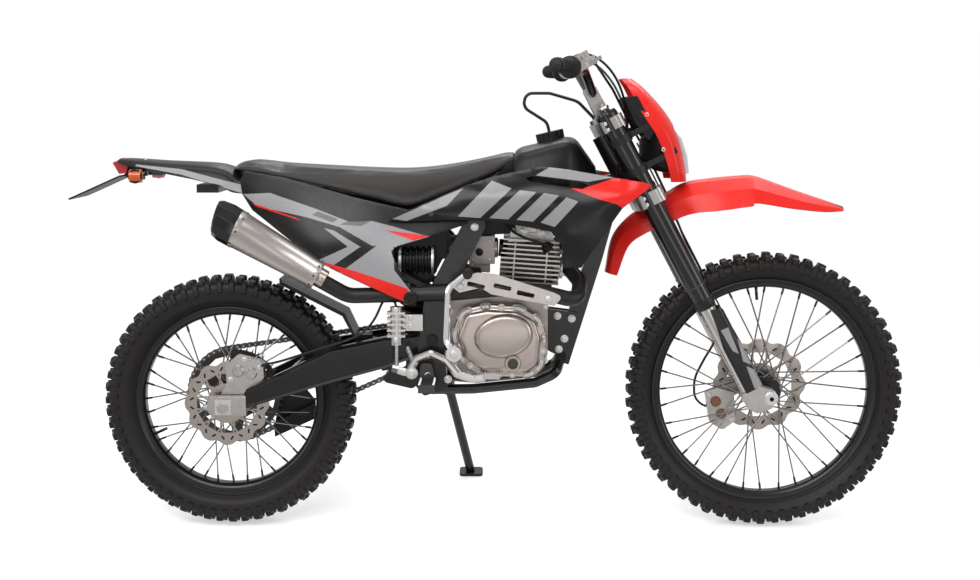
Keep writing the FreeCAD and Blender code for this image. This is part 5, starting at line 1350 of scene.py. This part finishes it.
class MOTORCYCLE_OT_engine_details(bpy.types.Operator):
    """Clutch cover, screws, plugs, clamps, spark plug cap and lead, airbox sides, and black plates that paint
    the shade in the gaps round the carburettor and under the tank
    """

    bl_idname = "motorcycle.engine_details"
    bl_label = "Engine details"

    def execute(self, context):
        corners = [(568, 505, 40), (592, 570, 30), (650, 586, 30), (740, 581, 40), (790, 550, 30),
                   (804, 500, 30), (796, 430, 30), (765, 404, 24), (640, 404, 30), (585, 450, 30)]
        rim = outline(corners, steps=8)[:, ::2]
        middle = np.array([688.0, 496.0])
        rings = []
        for inset, y in ((0, -96), (0, -130), (1.4, -134.6), (4.5, -137.2), (9, -138), (15, -138),
                         (17, -139.5), (19, -143.5), (22.5, -146), (32, -147)):
            away = rim - middle
            q = middle + away * (1 - inset / np.linalg.norm(away, axis=1, keepdims=True))
            rings.append(np.insert(q, 1, y, 1))
        a = np.linspace(0, 2 * math.pi, 72, endpoint=False)
        swell = []
        for k, y in ((1.04, -142.0), (1.0, -146.5), (0.975, -151.0), (0.92, -156.0), (0.85, -158.6),
                     (0.78, -159.6), (0.45, -161.0), (0.1, -161.6)):
            x, z = 697 + 72 * k * np.cos(a) + 7 * k * np.sin(a), 507 + 55 * k * np.sin(a)
            swell.append(np.stack([x, np.full(72, y), z], 1))
        edge = resampled(rim, 50.0)
        inset = edge + (middle - edge) / np.linalg.norm(middle - edge, axis=1, keepdims=True) * 7.0
        ears = bars(np.insert(inset, 1, -126, 1), np.insert(inset, 1, -140, 1), 9.0, 24)
        plug_boss = turned([(0, 0), (0, 21), (6, 20), (9, 18), (9, 0)], (720, -145, 440), RIGHT, 40)
        make("clutch_cover_shell", [ringed(rings), ringed(swell), ears, plug_boss], "cover_champagne",
             replaces=("clutch_cover",), sharp=50)
        screws = socket_bolts(np.insert(inset, 1, -140.0, 1), RIGHT, 4.4, 5.0)
        make("clutch_cover_screws", [screws], "steel")
        plug = [(0, 0), (0, 13), (2.5, 13), (3.2, 12.2), (3.2, 9), (1.6, 8.4), (1.6, 5), (3.6, 4.6), (3.6, 0)]
        make("oil_plug", [turned(plug, (720, -159.5, 440), RIGHT, 40)], "dark_steel")
        screws = socket_bolts(around((735, 116, 505), 56, 6, 0.3), LEFT, 4.8, 5)
        make("generator_screws", [screws], "steel")
        cap = [(0, 0), (0, 30), (4, 28), (5, 24), (4, 22), (4, 10), (6, 8), (6, 0)]
        make("generator_cap", [turned(cap, (735, 115.5, 505), LEFT)], "cover_champagne")
        mounts = ((832, 540), (868, 533), (850, 482), (836, 455))
        bolts = []
        for side in SIDES:
            places = [(x, side * 26, z) for x, z in mounts] + [(626, side * 121, 772), (560, side * 121, 395)]
            bolts.append(hexagon_bolts(places, (0, side, 0), 7.5, 7))
        make("mount_bolts", bolts, "steel")
        tilt = math.radians(4.0)

        def head(x, y, z):
            """A place on the tilted cylinder, measured from its foot."""
            c, sn = math.cos(tilt), math.sin(tilt)
            return np.array([757 + x * c + z * sn, y - 4, 602 - x * sn + z * c])
        places = [head(x, y, 150) for x in (-44, 44) for y in (-36, 36)]
        nuts = [hexagon_bolts(places, (math.sin(tilt), 0, math.cos(tilt)), 7.5, 8)]
        for side in SIDES:
            nuts.append(hexagon_bolts([head(x, side * 54, 152) for x in (-26, 26)], (0, side, 0), 10, 6))
        make("head_nuts", nuts, "steel")
        ribs = [bars(head(x, y, 28), head(x, y, 128), 2.2, 6) for x in (-40, 40) for y in (-64, 64)]
        make("fin_struts", ribs, "fin_alloy")
        foot, tip = head(34, -52, 112), head(40, -84, 122)
        plug_axis = (tip - foot) / np.linalg.norm(tip - foot)
        sleeve = [(0, 0), (0, 9), (14, 9), (15, 12), (34, 12.5), (38, 10), (38, 0)]
        make("spark_plug_cap", [turned(sleeve, foot, plug_axis, 28)], "hose_rubber")
        cable("spark_lead", [tip, tip + plug_axis * 18, (742, -92, 744), (700, -70, 770), (690, -40, 800)],
              3.4)
        rings = (((614, 0, 711), 31.5, 34.5, 9), ((677, 0, 710), 21.5, 25.5, 8),
                 ((442, -78, 686), 33.5, 35.6, 7), ((522, -78, 686), 33.5, 35.6, 7))
        clamps = [collar(place, (1, 0, 0), inner, outer, wide) for place, inner, outer, wide in rings]
        clamps += [bars([(614, -38, 716)], [(614, -38, 735)], 3.5, 12),
                   bars([(677, -27, 712)], [(677, -27, 728)], 3, 12)]
        make("hose_clamps", clamps, "steel")
        top = [(0, 0), (0, 20), (8, 20), (14, 16), (22, 8), (30, 5), (30, 0)]
        knob = turned([(0, 0), (0, 8), (3, 9), (12, 9), (13, 7), (13, 0)], (636, -34, 702), RIGHT, 24)
        make("carburettor_cap", [turned(top, (642, 0, 741), UP, 32), knob], "plastic_black")
        screws = socket_bolts([(x, y, 652) for x in (627, 657) for y in (-22, 22)], (0, 0, -1), 3.5, 3)
        places = [(620, -34, 730), (662, -34, 730), (662, -34, 684), (620, -34, 684)]
        plate_screws = socket_bolts(places, RIGHT, 3.5, 3)
        hexagon = [(423, 724, 8), (454, 738, 8), (550, 761, 8), (572, 738, 8), (504, 610, 8), (467, 619, 8),
                   (423, 690, 8)]
        dish = [(x * 0.86 + 69, z * 0.86 + 97, 8) for x, z, _ in hexagon]
        make("airbox_side", [plate(hexagon, -66, -40), plate(dish, -70, -60), plate(hexagon, 40, 66)],
             "plastic_black", bevel=1.5, sharp=50)
        # black plates in the gaps round the carburettor, above the cylinder and under the tank: painted
        # shade, dark sheets where these recesses lie in shade
        shade_plates = [plate([(556, 664, 8), (556, 606, 8), (640, 596, 8), (640, 664, 8)], -46, 46),
                plate([(596, 742, 6), (720, 748, 6), (744, 774, 8), (700, 796, 6), (596, 796, 6)], -30, 30),
                plate([(700, 752, 6), (826, 744, 6), (850, 772, 8), (840, 792, 6), (700, 792, 6)], -34, 34)]
        shade_plates += [plate([(656, 872, 6), (742, 896, 6), (764, 936, 8), (742, 958, 8), (718, 934, 8),
                        (690, 908, 8)], -64, 64)]
        make("wiring_covers", shade_plates, "plastic_black", bevel=1.5, sharp=50)
        make("carburettor_screws", [screws, plate_screws], "steel")
        port = head(80, -6, 64)
        flange = [collar(port, (math.cos(tilt), 0, -math.sin(tilt)), 18, 28, 7),
                  hexagon_bolts([port + (1.5, 22, 12), port + (1.5, -22, -12)], (1, 0, 0), 6, 8)]
        make("exhaust_flange", flange, "steel", slot="bare_alloy")
        make("shield_bolts", [hexagon_bolts([(592, -175, 632), (806, -175, 602)], RIGHT, 7, 6)], "steel")
        right_screws = [(574, -96, 430), (566, -96, 560), (800, -96, 438), (800, -96, 574), (610, -96, 404)]
        left_screws = [(690, 90, 418), (796, 96, 430), (796, 96, 570), (676, 90, 590)]
        bolts = [hexagon_bolts(right_screws, RIGHT, 6, 6), hexagon_bolts(left_screws, LEFT, 6, 6)]
        make("case_screws", bolts, "steel")
        return {"FINISHED"}


class MOTORCYCLE_OT_exhaust_details(bpy.types.Operator):
    """Silencer's hull, end cap and rivets, and the joint with the pipe"""

    bl_idname = "motorcycle.exhaust_details"
    bl_label = "Exhaust details"

    def execute(self, context):
        front, rear = np.array([249.0, -170.0, 657.0]), np.array([4.0, -175.0, 801.0])
        length = float(np.linalg.norm(rear - front))
        along = (rear - front) / length
        side = np.array([0.0, -1.0, 0.0])
        side -= along * (side @ along)
        side /= np.linalg.norm(side)
        up = np.cross(along, side)
        up = up if up[2] > 0 else -up

        def ring(place, radius, slant=0.0, sides=64):
            a = np.linspace(0, 2 * math.pi, sides, endpoint=False) + math.pi / sides
            high = np.sin(a)
            out = np.cos(a)[:, None] * side + high[:, None] * up
            return front + along * (place + slant * high)[:, None] + radius * out
        hull = ((4, 18), (1, 30), (0, 33.4), (1, 34.6), (3, 35), (15, 36), (16, 35.6), (17, 35.2),
                (length - 70, 45.8), (length - 69, 46.6), (length - 56, 47.4, 5), (length - 55, 46, 5),
                (length - 54, 40, 5))
        make("silencer_hull", [ringed([ring(*q) for q in hull])], "brushed_silencer", replaces=("silencer",),
             sharp=40)
        cap = ((length - 58, 44, 5), (length - 56, 47.6, 5), (length - 30, 48.6, 3), (length - 6, 44, 8),
               (length, 39, 10), (length - 1, 29, 9), (length - 22, 25, 4), (length - 24, 1, 4))
        make("silencer_end_cap", [ringed([ring(*q, sides=12) for q in cap])], "gloss_black", bevel=1.0,
             sharp=20)
        rivet = [(-1, 0), (-1, 3.2), (0.6, 3.2), (1.6, 2.2), (2, 0)]
        rivets = []
        for place, radius in ((9, 35.4), (length - 63, 46.8)):
            for a in np.linspace(0, 2 * math.pi, 8, endpoint=False):
                out = math.cos(a) * side + math.sin(a) * up
                rivets.append(turned(rivet, front + along * place + out * radius, out, 10))
        make("silencer_rivets", rivets, "dark_steel")
        joint = front - along * 8
        make("pipe_joint", [collar(joint, along, 19, 22.5, 22),
                            hexagon_bolts([joint + side * 23], side, 5, 7)], "pipe_steel")
        return {"FINISHED"}


class MOTORCYCLE_OT_front_details(bpy.types.Operator):
    """Fork caps, seals, clamp screws, switches, caliper pistons, lamp bowl and cables of the front end"""

    bl_idname = "motorcycle.front_details"
    bl_label = "Front end details"

    def execute(self, context):
        up = fork_at(0, 0, 1) - fork_at(0, 0, 0)
        ahead = fork_at(1, 0, 0) - fork_at(0, 0, 0)
        seal = [(-16, 20.7), (-15, 24), (-9, 25.5), (-2, 28.5), (9, 28.5), (10, 27.1), (0, 26)]
        caps, seals, wipers = [], [], []
        for side in SIDES:
            y = side * FORK_HALF
            caps.append(turned([(0, 0), (0, 15), (6, 15), (8, 13.5), (8, 0)], fork_at(0, y, 819), up, 6))
            caps.append(turned([(0, 0), (0, 5), (6, 5), (7, 4), (7, 0)], fork_at(0, y, 826), up, 16))
            seals.append(turned(seal, fork_at(0, y, 286), up, 48))
            wipers.append(turned([(0, 27.1), (0, 28.2), (5, 28.2), (5, 27.1)], fork_at(0, y, 330), up, 48))
        make("fork_caps", caps, "machined_alloy", "steering")
        make("fork_seals", seals, "hose_rubber", "steering")
        make("fork_rings", wipers, "dark_steel", "steering")
        clamp = []
        for level in (576, 780):
            for side in SIDES:
                places = [fork_at(-14, side * (FORK_HALF + 30), level + lift) for lift in (-8, 8)]
                clamp.append(socket_bolts(places, (0, side, 0), 4.6, 6))
        make("clamp_screws", clamp, "steel", "steering")
        foot = []
        for side in SIDES:
            for lift in (2, 24):
                foot.append(hexagon_bolts(fork_at(-21 + lift * 0.05, side * FORK_HALF, lift), -ahead, 5.5, 6))
            foot.append(turned([(0, 9.5), (0, 17), (3, 17), (4, 15.5), (4, 9.5)],
                               fork_at(AXLE_LEAD, side * (FORK_HALF + 22), 0), (0, side, 0), 40))
        make("axle_clamp_bolts", foot, "steel", "steering")
        piston = [(0, 0), (0, 12), (1.5, 13.4), (3.5, 13.4), (4, 12), (2.6, 10.5), (2.6, 0)]
        pistons = [turned(piston, place, RIGHT, 36) for place in ((1243, 45.2, 308), (1258, 45.2, 276))]
        make("front_caliper_pistons", pistons, "piston_brown", "steering")
        bolts = [hexagon_bolts([(1226, 45, 326), (1284, 45, 262)], RIGHT, 5, 5),
                 hexagon_bolts([(1226, 75, 322), (1282, 75, 262)], LEFT, 6, 6)]
        make("front_caliper_bolts", bolts, "steel", "steering")
        bar = fork([(-2, 190, 928), (-62, 405, 966)])
        run = (bar[1] - bar[0]) / np.linalg.norm(bar[1] - bar[0])
        for side, name in ((1, "left"), (-1, "right")):
            flip = np.array([1, side, 1])
            end, axis = bar[1] * flip, run * flip
            block_at = end - axis * 126
            body = [collar(block_at, axis, 11.3, 19, 14, 32)]
            body.append(turned([(0, 0), (0, 6), (3, 5), (3, 0)], block_at + up * 18, up, 20))
            if side < 0:
                lever = [(-7, 0), (-7, 15), (7, 17), (9, 12), (24, 6), (24, 0)]
                body.append(turned(lever, end - axis * 124, -ahead, 28))
            make(name + "_switch", body, "plastic_black", "steering")
            plugs = turned([(0, 0), (0, 15), (4, 15), (5, 13.5), (5, 0)], end + axis * 0.2, axis, 32)
            ribs = [collar(end - axis * k, axis, 16, 17.8, 2.4, 32) for k in range(12, 100, 7)]
            make(name + "_grip_ribs", [plugs] + ribs, "grip_rubber", "steering")
        bowl = []
        for h, d, x in ((58, 4, 1112), (60, 2, 1098), (56, 8, 1070), (38, 28, 1040), (30, 36, 1036)):
            corners = [(-h, 1016 - d, 16), (h, 1016 - d, 16), (h - 12, 898 + d, 16), (-h + 12, 898 + d, 16)]
            bowl.append(outline(corners, "yz", x, 6))
        make("lamp_bowl", [ringed(bowl)], "plastic_black", "steering", sharp=30)
        arm = [(988, 1084, 6), (1020, 1090, 6), (1066, 1006, 6), (1050, 980, 6), (1018, 1020, 8)]
        pad = [(1002, 1068, 3), (1020, 1062, 3), (1040, 1026, 3), (1028, 1024, 3)]
        straps = []
        for side in SIDES:
            straps += [plate(arm, side * 96, side * 101), plate(pad, side * 101, side * 104)]
        make("mask_brackets", straps, "plastic_black", "steering", bevel=0.8, sharp=50)
        screws = []
        for side in SIDES:
            places = [(1084, side * 108.5, 960), (1044, side * 101, 1044)]
            screws.append(socket_bolts(places, (0, side, 0), 5, 3.5))
        make("mask_screws", screws, "steel", "steering")
        throttle = fork([(-52, -276, 946), (-30, -240, 968), (28, -190, 960), (64, -120, 890), (58, -52, 800),
                         (20, -34, 720), (-30, -30, 680), (-56, -22, 640)])
        clutch = fork([(-26, 268, 936), (10, 244, 950), (52, 180, 930), (66, 90, 850), (50, 40, 770),
                       (10, 34, 700), (-40, 28, 650), (-60, 22, 620)])
        cable("throttle_cable", throttle, 3.0, "steering")
        cable("clutch_cable", clutch, 3.0, "steering")
        speed = fork([(44, 60, 700), (44, 84, 600), (44, 96, 420), (42, 86, 300), (40, 74, 200),
                      (46, 68, 120), (44, 66, 40)])
        cable("sensor_lead", speed, 2.2, "steering")
        return {"FINISHED"}


class MOTORCYCLE_OT_rear_details(bpy.types.Operator):
    """Chain adjusters, caliper caps, peg teeth, springs, indicator rims, fasteners and the brake line"""

    bl_idname = "motorcycle.rear_details"
    bl_label = "Rear and foot control details"

    def execute(self, context):
        cover = [(-20, 340, 2), (20, 340, 2), (20, 303, 2), (-20, 303, 2)]
        adjusters = []
        for side in SIDES:
            adjusters.append(hexagon_bolts([(-40, side * 103, 320)], (-1, 0, 0), 6, 12))
            adjusters.append(plate(cover, side * 116, side * 119))
        make("chain_adjusters", adjusters, "steel", slot="bare_alloy", sharp=30)
        cap = [(0, 0), (0, 15), (4, 15), (6, 13), (6, 9), (4.4, 8), (4.4, 0)]
        caps = [turned(cap, place, RIGHT, 36) for place in ((34, -84, 408), (66, -84, 402))]
        make("rear_caliper_caps", caps, "machined_alloy")
        places = [(14, -84, 386), (88, -84, 416), (50, -84, 436)]
        make("rear_caliper_bolts", [hexagon_bolts(places, RIGHT, 5, 6)], "steel")
        square = np.array([(-1, -1), (1, -1), (1, 1), (-1, 1)])
        teeth = [ringed([outline((x, y) + square * half, "xy", z) for half, z in ((3, 399), (1, 405))])
                 for side in SIDES for y in np.linspace(side * 150, side * 222, 8) for x in (495, 529)]
        make("peg_teeth", teeth, "steel", sharp=20)
        springs = [coil((512, side * 128, 408), (512, side * 150, 408), 8, 1.6, 5) for side in SIDES]
        springs.append(coil((478, -154, 440), (462, -150, 480), 5, 1.2, 9))
        make("peg_springs", springs, "steel")
        ribs = [collar((612, -y, 668), LEFT, 8.6, 11.6, 5, 28) for y in range(190, 231, 8)]
        ribs.append(turned([(0, 0), (0, 11), (3, 10), (3, 0)], (612, -239, 668), RIGHT, 28))
        make("kick_rubber", ribs, "hose_rubber")
        make("kick_bolt", [hexagon_bolts([(577, -196, 470)], RIGHT, 8, 6)], "steel")
        cap = [(0, 0), (0, 19), (5, 19), (7, 16), (7, 0)]
        caps = [turned(cap, (505, side * 121.5, 440), (0, side, 0), 40) for side in SIDES]
        make("pivot_caps", caps, "plastic_black")
        make("pedal_bolt", [hexagon_bolts([(474, -176, 420)], RIGHT, 9, 6)], "steel")
        ribs = []
        for x in range(652, 684, 6):
            ribs.append(plate([(x, 419.5), (x + 3, 419.5), (x + 3, 423), (x, 423)], -180, -156))
        make("pedal_ribs", ribs, "machined_alloy")
        cups = [collar((-200, side * 124, 895), LEFT, 13, 17.4, 12) for side in SIDES]
        make("indicator_rims", cups, "plastic_black")
        boss = [(-8, 0), (-8, 17), (0, 17), (3, 14), (3, 9), (1, 8), (1, 0)]
        pads = [turned(boss, (472, side * 171.5, 603), (0, side, 0), 40) for side in SIDES]
        make("panel_bosses", pads, "plastic_black")
        places = [(470, -150, 530), (470, -150, 552), (436, -168, 574), (436, -168, 500)]
        make("master_screws", [hexagon_bolts(places, RIGHT, 5, 5)], "steel")
        line = [(436, -146, 576), (430, -140, 600), (404, -128, 600), (380, -124, 540), (340, -124, 500),
                (240, -122, 470), (140, -120, 436), (100, -104, 428), (92, -84, 420)]
        cable("rear_brake_line", line, 3.0)
        return {"FINISHED"}


# Stage

# Fitted focal length and width of the photograph, in pixels
PHOTO_FOCAL = 1506.29
PHOTO_WIDTH = 980.0
LAMPS = (("key", (-1.0, -2.6, 3.4), (3.6, 1.4), 88.0), ("front", (3.2, -1.4, 1.6), (1.0, 2.4), 24.0),
         ("rear", (-3.2, -1.2, 1.8), (1.0, 2.4), 22.0), ("back", (0.6, 3.0, 2.8), (3.6, 1.2), 46.0),
         ("top", (0.0, 0.2, 3.8), (3.6, 1.2), 52.0), ("low", (0.4, -3.6, 0.9), (3.2, 0.5), 9.0))


def backdrop_share(t):
    """1 for rays that look at the backdrop straight or through glass, half for mirrored ones, 0 for the
    rest."""
    path = t.add("ShaderNodeLightPath")
    seen = t.maths("MAXIMUM", path.node.outputs["Is Camera Ray"], path.node.outputs["Is Transmission Ray"])
    return t.maths("MAXIMUM", seen, t.maths("MULTIPLY", path.node.outputs["Is Glossy Ray"], 0.5))


def white_floor():
    """Pale floor that keeps the shadow near the machine and turns into plain white light further out."""
    material, t, shader, where = blank("floor_white")
    for key, value in (("Roughness", 0.9), ("Specular IOR Level", 0.1), ("Emission Color", (1, 1, 1, 1))):
        t.feed(shader, key, value)
    flat = t.add("ShaderNodeVectorMath", operation="MULTIPLY", inputs={0: where, 1: (0.62, 1.0, 0.0)})
    away = t.add("ShaderNodeVectorMath", out=1, operation="LENGTH", inputs={0: flat})
    share = t.add("ShaderNodeMapRange", interpolation_type="SMOOTHSTEP",
                  inputs={"Value": away, "From Min": 0.3, "From Max": 1.5, "To Min": 0.0, "To Max": 1.0})
    t.feed(shader, "Base Color", t.mix(share, (0.88, 0.88, 0.88), (0.0, 0.0, 0.0)))
    glow = t.maths(
        "MULTIPLY", t.spread(share, 0.0, 1.0, 0.5, 1.0), t.spread(backdrop_share(t), 0.0, 1.0, 0.25, 1.0))
    t.feed(shader, "Emission Strength", glow)
    return material


class MOTORCYCLE_OT_stage(bpy.types.Operator):
    """Pale floor, soft lamps, white surroundings and the camera at the photograph's angle"""

    bl_idname = "motorcycle.stage"
    bl_label = "Stage"

    def execute(self, context):
        sizes = context.scene.motorcycle_sizes
        reach = 40.0
        floor = bpy.data.meshes.new("floor")
        floor.from_pydata([(-reach, -reach, 0), (reach, -reach, 0), (reach, reach, 0), (-reach, reach, 0)],
                          [], [(0, 1, 2, 3)])
        floor.materials.append(white_floor())
        ground = bpy.data.objects.new("floor", floor)
        bpy.context.collection.objects.link(ground)
        target = Vector((0.0, 0.0, 0.55))
        for name, place, size, power in LAMPS:
            lamp = bpy.data.lights.new(name, "AREA")
            lamp.shape, lamp.size, lamp.size_y, lamp.energy = "RECTANGLE", size[0], size[1], power
            holder = bpy.data.objects.new(name, lamp)
            holder.location = place
            holder.rotation_mode = "QUATERNION"
            holder.rotation_quaternion = (target - Vector(place)).to_track_quat("-Z", "Y")
            bpy.context.collection.objects.link(holder)
        world = bpy.data.worlds.new("surroundings")
        context.scene.world = world
        world.use_nodes = True
        t = Tree(world.node_tree)
        background = world.node_tree.nodes["Background"]
        t.feed(background, "Color", (1, 1, 1, 1))
        t.feed(background, "Strength", t.spread(backdrop_share(t), 0.0, 1.0, 0.22, 1.0))
        context.scene.view_settings.view_transform = "Standard"
        camera = bpy.data.cameras.new("camera")
        camera.sensor_width = 36.0
        camera.lens = PHOTO_FOCAL / PHOTO_WIDTH * camera.sensor_width
        camera.clip_end = 60.0
        holder = bpy.data.objects.new("camera", camera)
        place = parked([sizes.camera_place])[0]
        yaw, pitch = sizes.camera_yaw, sizes.camera_pitch
        ahead = (math.sin(yaw) * math.cos(pitch), math.cos(yaw) * math.cos(pitch), -math.sin(pitch))
        right = (math.cos(yaw), -math.sin(yaw), 0.0)
        ahead, right = Vector(leaned(ahead)), Vector(leaned(right))
        up = right.cross(ahead)
        turn = Matrix((right, up, -ahead)).transposed().to_4x4()
        turn.translation = Vector(place)
        holder.matrix_world = turn
        bpy.context.collection.objects.link(holder)
        context.scene.camera = holder
        return {"FINISHED"}


# Add-on

class MotorcycleSizes(bpy.types.PropertyGroup):
    lugs: IntProperty(
        name="Tread rows", description="Blocks in the tyres' middle row", default=30, min=20, max=40)
    camera_place: FloatVectorProperty(
        name="Camera place", description="In the upright bike frame, in mm", size=3,
        default=(720.78, -3783.06, 1079.0))
    camera_yaw: FloatProperty(
        name="Camera yaw", description="Turn about the vertical", default=-0.0156, unit="ROTATION")
    camera_pitch: FloatProperty(
        name="Camera pitch", description="Tilt below level", default=0.1254, unit="ROTATION")


class MotorcycleColours(bpy.types.PropertyGroup):
    moulding_red: FloatVectorProperty(
        name="Moulding red", description="Fender, mask and striping", size=3, subtype="COLOR",
        default=(0.88, 0.021, 0.015), min=0, max=1)
    graphic_grey: FloatVectorProperty(
        name="Graphic grey", description="Pale striping on the mouldings", size=3, subtype="COLOR",
        default=(0.33, 0.33, 0.34), min=0, max=1)


OPERATORS = (
    MOTORCYCLE_OT_stage, MOTORCYCLE_OT_tyres, MOTORCYCLE_OT_wheels, MOTORCYCLE_OT_chain,
    MOTORCYCLE_OT_fenders, MOTORCYCLE_OT_side_mouldings, MOTORCYCLE_OT_tank, MOTORCYCLE_OT_headlamp,
    MOTORCYCLE_OT_seat, MOTORCYCLE_OT_plain_pieces, MOTORCYCLE_OT_engine_details,
    MOTORCYCLE_OT_exhaust_details, MOTORCYCLE_OT_front_details, MOTORCYCLE_OT_rear_details)


class MOTORCYCLE_PT_panel(bpy.types.Panel):
    """Buttons that build each group of pieces"""

    bl_idname = "MOTORCYCLE_PT_panel"
    bl_label = "Motorcycle"
    bl_space_type = "VIEW_3D"
    bl_region_type = "UI"
    bl_category = "Motorcycle"

    def draw(self, context):
        for kind in OPERATORS:
            self.layout.operator(kind.bl_idname)
        for group_name in ("motorcycle_sizes", "motorcycle_colours"):
            values = getattr(context.scene, group_name)
            for key in values.bl_rna.properties.keys():
                if key not in ("rna_type", "name"):
                    self.layout.prop(values, key)


CLASSES = (MotorcycleSizes, MotorcycleColours, *OPERATORS, MOTORCYCLE_PT_panel)


def register():
    for kind in CLASSES:
        bpy.utils.register_class(kind)
    bpy.types.Scene.motorcycle_sizes = PointerProperty(type=MotorcycleSizes)
    bpy.types.Scene.motorcycle_colours = PointerProperty(type=MotorcycleColours)


def unregister():
    del bpy.types.Scene.motorcycle_sizes
    del bpy.types.Scene.motorcycle_colours
    for kind in reversed(CLASSES):
        bpy.utils.unregister_class(kind)


def main():
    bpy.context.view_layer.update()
    register()
    for kind in OPERATORS:
        family, call = kind.bl_idname.split(".")
        getattr(getattr(bpy.ops, family), call)()


if __name__ == "__main__":
    main()
